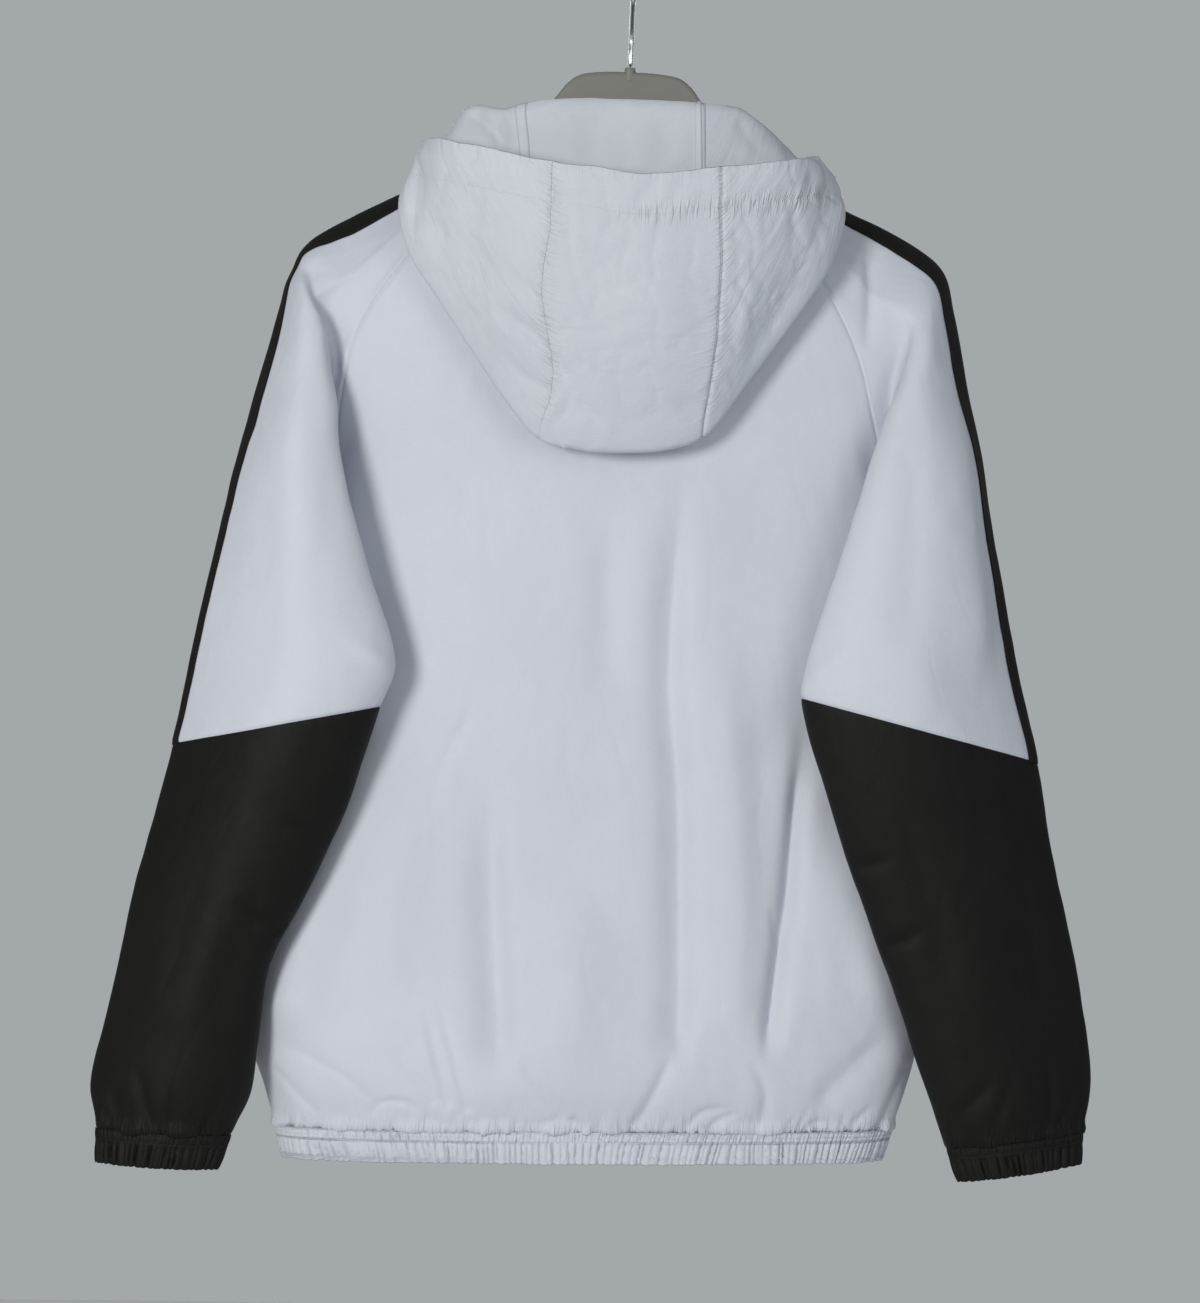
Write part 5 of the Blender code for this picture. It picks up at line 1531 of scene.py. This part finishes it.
innerSeam = {
    "half": 3.6,
    "thickness": 0.5,
    "gap": 0.15,  # from the cloth that it lies on
    "stretch": (1.9, 5.6),  # of the hood's section
    "pitch": 3.0,
    "profile": ((-1, 0), (-0.93, 0.45), (-0.5, 0.5), (0, 0.62), (0.5, 0.5), (0.93, 0.45), (1, 0)),
    "stitch": {"pitch": 2.6, "length": 2.0, "width": 0.4, "height": 0.3, "seed": 4},
}


def makeInnerSeam(name, place):
    s = stations(hoodCloth, "s", [place], *innerSeam["stretch"], innerSeam["pitch"], (0, 0))
    outer, normal = hoodForm(np.array([place - 0.3, place, place + 0.3]), s, 0)[:2]
    out = normal[1]
    base = outer[1] - out * (hood["thickness"] + innerSeam["gap"])
    across = outer[2] - outer[0]
    across /= np.linalg.norm(across, axis=1, keepdims=True)
    offsets, lifts = np.transpose(innerSeam["profile"])
    grid = base[None] + across[None] * (offsets * innerSeam["half"])[:, None, None]
    grid = grid - out[None] * lifts[:, None, None]
    normal = -np.repeat(out[None], len(lifts), axis=0)
    clothShell(name, grid, normal, innerSeam["thickness"], finishes["hood"])
    return [(grid[k] - out * 0.1, -out) for k in (1, 5)]


innerRows = makeInnerSeam("innerSeamLeft", hood["last"] - hood["seam"])
innerRows += makeInnerSeam("innerSeamRight", hood["last"] + hood["seam"])
repeatAlong("stitchingInner", innerRows, "paleThread", innerSeam["stitch"])


# The zip: a woven strip, two rows of coil, the slider and its pull

zipper = {
    "proud": 0.5, "step": 3.0, "across": (-2.95, -2.0, -1.0, 0, 1.0, 2.0, 2.95), "sunk": 0.35,
    "tapeThickness": 0.7, "toothPitch": 1.5, "toothPlace": (0.75, 0.15),
    # with a pitch of a metre, each short line carries one tooth
    "tooth": {"pitch": 1000.0, "length": 2.9, "width": 0.95, "height": 0.9, "seed": 2},
    "sliderZ": -163.0, "sliderLength": 14.0, "sliderWidth": 9.0, "sliderThick": 2.2,
    "sliderCut": (1.8, 2.5), "leanOver": 9.0, "railTop": (2.9, 3.4), "railLow": (1.8, 2.3),
    "bailOut": 4.2, "bailUp": 2.0, "bailHole": 1.5, "bailWall": 1.1, "bailWidth": 3.2,
    "pullBar": 1.2, "pullWidth": 8.0, "pullLength": 26.0, "pullCut": (2.0, 3.0), "pullSlot": 3.4,
}


def zipPath():
    climb = hoodCloth.at(np.array([2.0 * hood["last"]]), np.array([10.0, 8.0, 6.0, 4.0, 2.0, 1.0]))[0]
    levels = np.concatenate([np.arange(armpit), np.arange(armpit, 12, 0.5), np.arange(12, hemRow + 1)])
    low = frontCloth["right"].at(levels, np.array([0.0]))[:, 0]
    points = np.concatenate([climb, low, (low[-1] - (0, 0, hem["height"]))[None]]) + (0, zipper["proud"], 0)
    points[:, 0] = 0
    return points


def evenLine(points, pitch):
    length = runLength(points)
    places = np.linspace(0, length[-1], round(length[-1] / pitch) + 1)
    return np.stack([np.interp(places, length, column) for column in points.T], axis=1)


def makeZip():
    path = evenLine(zipPath(), zipper["step"])
    along = np.gradient(path, axis=0)
    out = np.stack([np.zeros(len(path)), -along[:, 2], along[:, 1]], axis=1)
    out /= np.linalg.norm(out, axis=1, keepdims=True)
    grid = np.stack([path + (x, 0, 0) for x in zipper["across"]], axis=1)
    normal = np.repeat(out[:, None], len(zipper["across"]), axis=1)
    clothShell("zipTape", grid - normal * zipper["sunk"], normal, zipper["tapeThickness"], finishes["pale"])
    # the teeth stand left and right in turn, each a bead that lies across the zip
    line = evenLine(path, zipper["toothPitch"])
    half = np.array([zipper["tooth"]["length"] / 2, 0, 0]) * 0.02  # its line is a fiftieth of its length
    outward = np.array([[0, 1.0, 0]] * 2)
    x, y = zipper["toothPlace"]
    teeth = []
    for side, first in ((-1, 3), (1, 2)):
        for spot in line[first:-2:2] + (side * x, y, 0):
            teeth.append((np.stack([spot - half, spot + half]), outward))
    repeatAlong("zipTeeth", teeth, "zipCoil", zipper["tooth"])


makeZip()


def sliderFrame():
    path = zipPath()
    _, depths, heights = path[np.argsort(path[:, 2])].T
    reach = zipper["leanOver"]
    y, low, high = (np.interp(zipper["sliderZ"] + step, heights, depths) for step in (0, -reach, reach))
    lean = math.atan2(high - low, 2 * reach)
    outwards = Vector((0, math.cos(lean), -math.sin(lean)))
    along = Vector((0, math.sin(lean), math.cos(lean)))
    place = Vector((0, y, zipper["sliderZ"])) + outwards * clothGap
    turned = Matrix((Vector((1, 0, 0)), outwards, along)).transposed().to_4x4()
    return Matrix.Translation(place) @ turned


def prism(bm, outline, low, high):
    rings = [[bm.verts.new((x, level, z)) for x, z in outline] for level in (low, high)]
    bm.faces.new(rings[0])
    bm.faces.new(rings[1][::-1])
    for i in range(len(outline)):
        j = (i + 1) % len(outline)
        bm.faces.new((rings[0][i], rings[1][i], rings[1][j], rings[0][j]))


def ringPrism(bm, outer, hole, half, axis):
    place = (lambda level, a, b: (level, a, b)) if axis == "x" else (lambda level, a, b: (a, level, b))
    rings = [[bm.verts.new(place(level, a, b)) for a, b in outline]
             for level in (-half, half) for outline in (outer, hole)]
    lowOut, lowIn, highOut, highIn = rings
    for i in range(len(outer)):
        j = (i + 1) % len(outer)
        bm.faces.new((lowOut[i], lowOut[j], lowIn[j], lowIn[i]))
        bm.faces.new((highOut[i], highIn[i], highIn[j], highOut[j]))
        bm.faces.new((lowOut[i], highOut[i], highOut[j], lowOut[j]))
        bm.faces.new((lowIn[i], lowIn[j], highIn[j], highIn[i]))


def circlePoints(centre, radius, count=20):
    turns = [2 * math.pi * i / count for i in range(count)]
    return [(centre[0] + radius * math.cos(a), centre[1] + radius * math.sin(a)) for a in turns]


def roundedOutline(points, radius, steps=4):
    # a closed outline with each corner cut by a small curve
    made = []
    points = [Vector((*p, 0)) for p in points]
    for i, corner in enumerate(points):
        before, after = points[i - 1], points[(i + 1) % len(points)]
        a = corner + (before - corner).normalized() * radius
        b = corner + (after - corner).normalized() * radius
        for k in range(steps + 1):
            share = k / steps
            spot = a.lerp(corner, share).lerp(corner.lerp(b, share), share)
            made.append((spot.x, spot.y))
    return made


def finishSolid(name, bm, look, bevel=0, segments=2, matrix=None, sharp=40):
    bmesh.ops.recalc_face_normals(bm, faces=bm.faces)
    if matrix is not None:
        bmesh.ops.transform(bm, matrix=matrix, verts=bm.verts)
    bmesh.ops.scale(bm, vec=(mm, mm, mm), verts=bm.verts)
    mesh = bpy.data.meshes.new(name)
    bm.to_mesh(mesh)
    bm.free()
    made = addPiece(name, mesh, finishes[look], sharp)
    if bevel:
        rounding = made.modifiers.new("rounding", "BEVEL")
        rounding.width = bevel * mm
        rounding.segments = segments
        rounding.limit_method = "ANGLE"
        rounding.angle_limit = math.radians(45)


def makeSlider():
    high, wide, thick = zipper["sliderLength"] / 2, zipper["sliderWidth"] / 2, zipper["sliderThick"]
    cutX, cutZ = zipper["sliderCut"]
    placed = sliderFrame()
    bm = bmesh.new()
    prism(bm, roundedOutline([
        (-wide, high - cutZ), (-wide + cutX, high), (wide - cutX, high), (wide, high - cutZ),
        (wide - cutX, -high), (-wide + cutX, -high),
    ], 1.1), 0, thick)
    for side in (-1, 1):  # two raised rails along the plate
        rail = [(side * x, high - 3.0) for x in zipper["railTop"]]
        rail += [(side * x, -high + 1.0) for x in zipper["railLow"][::-1]]
        prism(bm, rail[::side], thick - 0.2, thick + 0.25)
    centre = (zipper["bailOut"], zipper["bailUp"])
    ringPrism(bm, circlePoints(centre, zipper["bailHole"] + zipper["bailWall"]),
              circlePoints(centre, zipper["bailHole"]), zipper["bailWidth"] / 2, "x")
    finishSolid("zipSlider", bm, "chrome", 0.3, 2, placed)


def makePull():
    # hangs straight down from the bail, which goes through its slot
    half, slot = zipper["pullWidth"] / 2, zipper["bailWidth"] / 2 + 0.4
    top, low, slotLow = zipper["pullBar"] / 2, -zipper["pullLength"], -zipper["pullSlot"]
    cutX, cutZ = zipper["pullCut"]
    outer = [(-half, top), (half, top), (half, low + cutZ), (half - cutX, low), (-half + cutX, low),
             (-half, low + cutZ)]
    hole = [(-slot, -top), (slot, -top), (slot, slotLow), (0.5, slotLow), (-0.5, slotLow), (-slot, slotLow)]
    bm = bmesh.new()
    ringPrism(bm, roundedOutline(outer, 0.9), roundedOutline(hole, 0.28), zipper["pullBar"] / 2, "y")
    axis = sliderFrame() @ Vector((0, zipper["bailOut"], zipper["bailUp"]))
    finishSolid("zipPull", bm, "chrome", 0.3, 2, Matrix.Translation(axis))


makeSlider()
makePull()
print("zip made")


# The hanger and its hook

hanger = {
    "thick": 8.0, "bevel": 3.15, "slack": 2.2, "tip": 0.3, "nod": 3.0,
    "bossTop": -73.5, "bossHeight": 10.0, "bossRadii": (4.5, 3.87),
    "hump": ((0, -76.5), (24, -77.5), (36, -80), (44, -86), (51, -95), (59, -106), (70, -120)),
    "lower": ((206, -212), (160, -197), (110, -177), (60, -156), (0, -144)),
}
hook = {"wire": 3.5, "radius": 20.0, "shankTop": -52.0, "from": -50, "open": 215, "sides": 16}


def shoulderLine(sideName):
    side, surface = sides[sideName], sleeveCloth[sideName]
    ridge = surface.at(np.arange(5.0), np.array([float(sleeve["topKey"])]))[:, 0]
    step = np.gradient(ridge, axis=0)
    up = np.stack([-side * step[:, 2], np.zeros(5), side * step[:, 0]], axis=1) * side
    up *= np.sign(up[:, 2:])
    up /= np.linalg.norm(up, axis=1, keepdims=True)
    inside = ridge - up * (body["wall"] + hanger["slack"])
    inside[-1] = lerp(inside[-2], inside[-1], hanger["tip"]) - (0, 0, hanger["nod"])
    return [(abs(x), z) for x, _, z in inside]


def makeHanger():
    humpKeys = [(-x, z) for x, z in hanger["hump"][:0:-1]] + list(hanger["hump"])
    humpLine = smoothCurve(extend(humpKeys), np.linspace(0, len(humpKeys) - 1, 73))
    hump = [tuple(p) for p in humpLine if p[0] > 1e-6]
    outline = [hanger["hump"][0]] + hump + shoulderLine("right") + list(hanger["lower"])
    mirrored = hump + shoulderLine("left") + list(hanger["lower"][:-1])
    outline += [(-x, z) for x, z in mirrored[::-1]]
    bm = bmesh.new()
    prism(bm, outline, -hanger["thick"] / 2, hanger["thick"] / 2)
    finishSolid("hangerBody", bm, "hangerPlastic", hanger["bevel"], 5, None, 30)
    low, high = hanger["bossRadii"]
    middle = hanger["bossTop"] - hanger["bossHeight"] / 2
    bm = bmesh.new()
    bmesh.ops.create_cone(bm, cap_ends=True, segments=32, radius1=low, radius2=high,
                          depth=hanger["bossHeight"], matrix=Matrix.Translation((0, 0, middle)))
    finishSolid("hangerBoss", bm, "hangerPlastic", 0.8, 3)


def makeHook():
    radius, wire, count = hook["radius"], hook["wire"] / 2, hook["sides"]
    low, high = hanger["bossTop"] + clothGap, hook["shankTop"]
    points = [(0, low), (0, (hanger["bossTop"] + high) / 2), (0, high)]
    for turn in np.radians(hook["from"] + hook["open"] * np.arange(15) / 14):
        points.append((-radius * math.cos(turn), wire - radius + radius * math.sin(turn)))
    keys = extend([(0, y, z) for y, z in points])
    route = smoothCurve(keys, np.linspace(0, len(keys) - 3, 130))
    along = np.gradient(route, axis=0)
    along /= np.linalg.norm(along, axis=1, keepdims=True)
    sizes = np.ones(len(route))
    sizes[:2] = sizes[:-3:-1] = (0.02, 0.7)  # rounded ends
    turns = np.linspace(0, 2 * math.pi, count, endpoint=False)[:, None]
    bm = bmesh.new()
    rings = []
    for place, out, size in zip(route, np.cross(along, (1, 0, 0)), sizes * wire):
        ring = place + np.cos(turns) * (size, 0, 0) + np.sin(turns) * out * size
        rings.append([bm.verts.new(point) for point in ring])
    for a, b in zip(rings, rings[1:]):
        for i in range(count):
            j = (i + 1) % count
            bm.faces.new((a[i], a[j], b[j], b[i]))
    bm.faces.new(rings[0][::-1])
    bm.faces.new(rings[-1])
    finishSolid("hookWire", bm, "chrome")


makeHanger()
makeHook()
print("hanger made")


# What each piece stands for, rides on and was cut to

replaced = {
    "backPanel": "back", "frontPanelLeft": "front_left", "frontPanelRight": "front_right",
    "hemBand": "hem_band",
    "sleeveUpperLeft": "sleeve_upper_left", "sleeveUpperRight": "sleeve_upper_right",
    "sleeveLowerLeft": "sleeve_lower_left", "sleeveLowerRight": "sleeve_lower_right",
    "cuffLeft": "cuff_left", "cuffRight": "cuff_right", "sleeveTapeLeft": "sleeve_tape_left",
    "sleeveTapeRight": "sleeve_tape_right", "hoodSideLeft": "hood_side_left", "hoodCentre": "hood_center",
    "hoodSideRight": "hood_side_right", "zipTape": "zip_chain", "zipSlider": "zip_slider",
    "zipPull": "zip_pull",
    "hangerBody": "hanger", "hookWire": "hook",
}
for name, piece in pieces.items():
    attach(piece, "pull" if name == "zipPull" else "jacket")
    if name in replaced:
        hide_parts(replaced[name])


# Camera, light and floor

studio = {
    "distance": 3.0, "middle": (-0.0041, -0.04, -0.4878), "seenHeight": 0.912, "roll": 2.4,
    "wall": (0.368, 0.391, 0.398), "ambient": 0.64,
    "key": {"at": (-1.6, -2.85, -0.1), "size": 0.95, "power": 57.5, "colour": (1.0, 0.985, 0.965)},
    "fill": {"at": (1.8, -2.8, 0.2), "size": 2.2, "power": 19, "colour": (0.93, 0.97, 1.0)},
    "front": {"at": (-0.12, 3.0, 0.3), "size": 1.6, "power": 52, "colour": (1.0, 0.985, 0.965)},
    "aim": (0, 0, -0.45), "floor": -1.45, "floorRadius": 3.2,
}


def makeStudio():
    roll = math.radians(studio["roll"])
    camera = bpy.data.cameras.new("camera")
    camera.lens = 36 * studio["distance"] / studio["seenHeight"]
    camera.clip_end = 100
    holder = putIn("camera", camera)
    x, y, z = studio["middle"]
    across = Vector((math.cos(roll), 0, math.sin(roll)))
    up = Vector((-math.sin(roll), 0, math.cos(roll)))
    turned = Matrix((across, up, Vector((0, -1, 0)))).transposed().to_4x4()
    holder.matrix_world = Matrix.Translation((x, y - studio["distance"], z)) @ turned
    bpy.context.scene.camera = holder
    for name in ("key", "fill", "front"):
        facts = studio[name]
        lamp = bpy.data.lights.new(name, "AREA")
        lamp.shape, lamp.size = "DISK", facts["size"]
        lamp.energy, lamp.color = facts["power"], facts["colour"]
        hung = putIn(name, lamp)
        hung.location = facts["at"]
        aim = Vector(studio["aim"]) - Vector(facts["at"])
        hung.rotation_euler = aim.to_track_quat("-Z", "Y").to_euler()
    # the wall is seen at its own brightness and lights the cloth a little less
    world = bpy.data.worlds.new("studio")
    world.use_nodes = True
    nodes, links = world.node_tree.nodes, world.node_tree.links
    blend, view = nodes.new("ShaderNodeMixShader"), nodes.new("ShaderNodeLightPath")
    links.new(view.outputs["Is Camera Ray"], blend.inputs[0])
    lit, seen = nodes["Background"], nodes.new("ShaderNodeBackground")
    for slot, shade, strength in ((1, lit, studio["ambient"]), (2, seen, 1.0)):
        shade.inputs[0].default_value = (*studio["wall"], 1)
        shade.inputs[1].default_value = strength
        links.new(shade.outputs[0], blend.inputs[slot])
    links.new(blend.outputs[0], nodes["World Output"].inputs[0])
    bpy.context.scene.world = world
    bpy.context.scene.view_settings.view_transform = "Standard"
    bm = bmesh.new()
    bmesh.ops.create_circle(bm, cap_ends=True, segments=96, radius=studio["floorRadius"])
    mesh = bpy.data.meshes.new("floor")
    bm.to_mesh(mesh)
    bm.free()
    mesh.materials.append(Bench("floorPaint", (0.60, 0.62, 0.63), 0.8).material)
    floor = putIn("floor", mesh)
    floor.location.z = studio["floor"]


makeStudio()
print("studio ready")
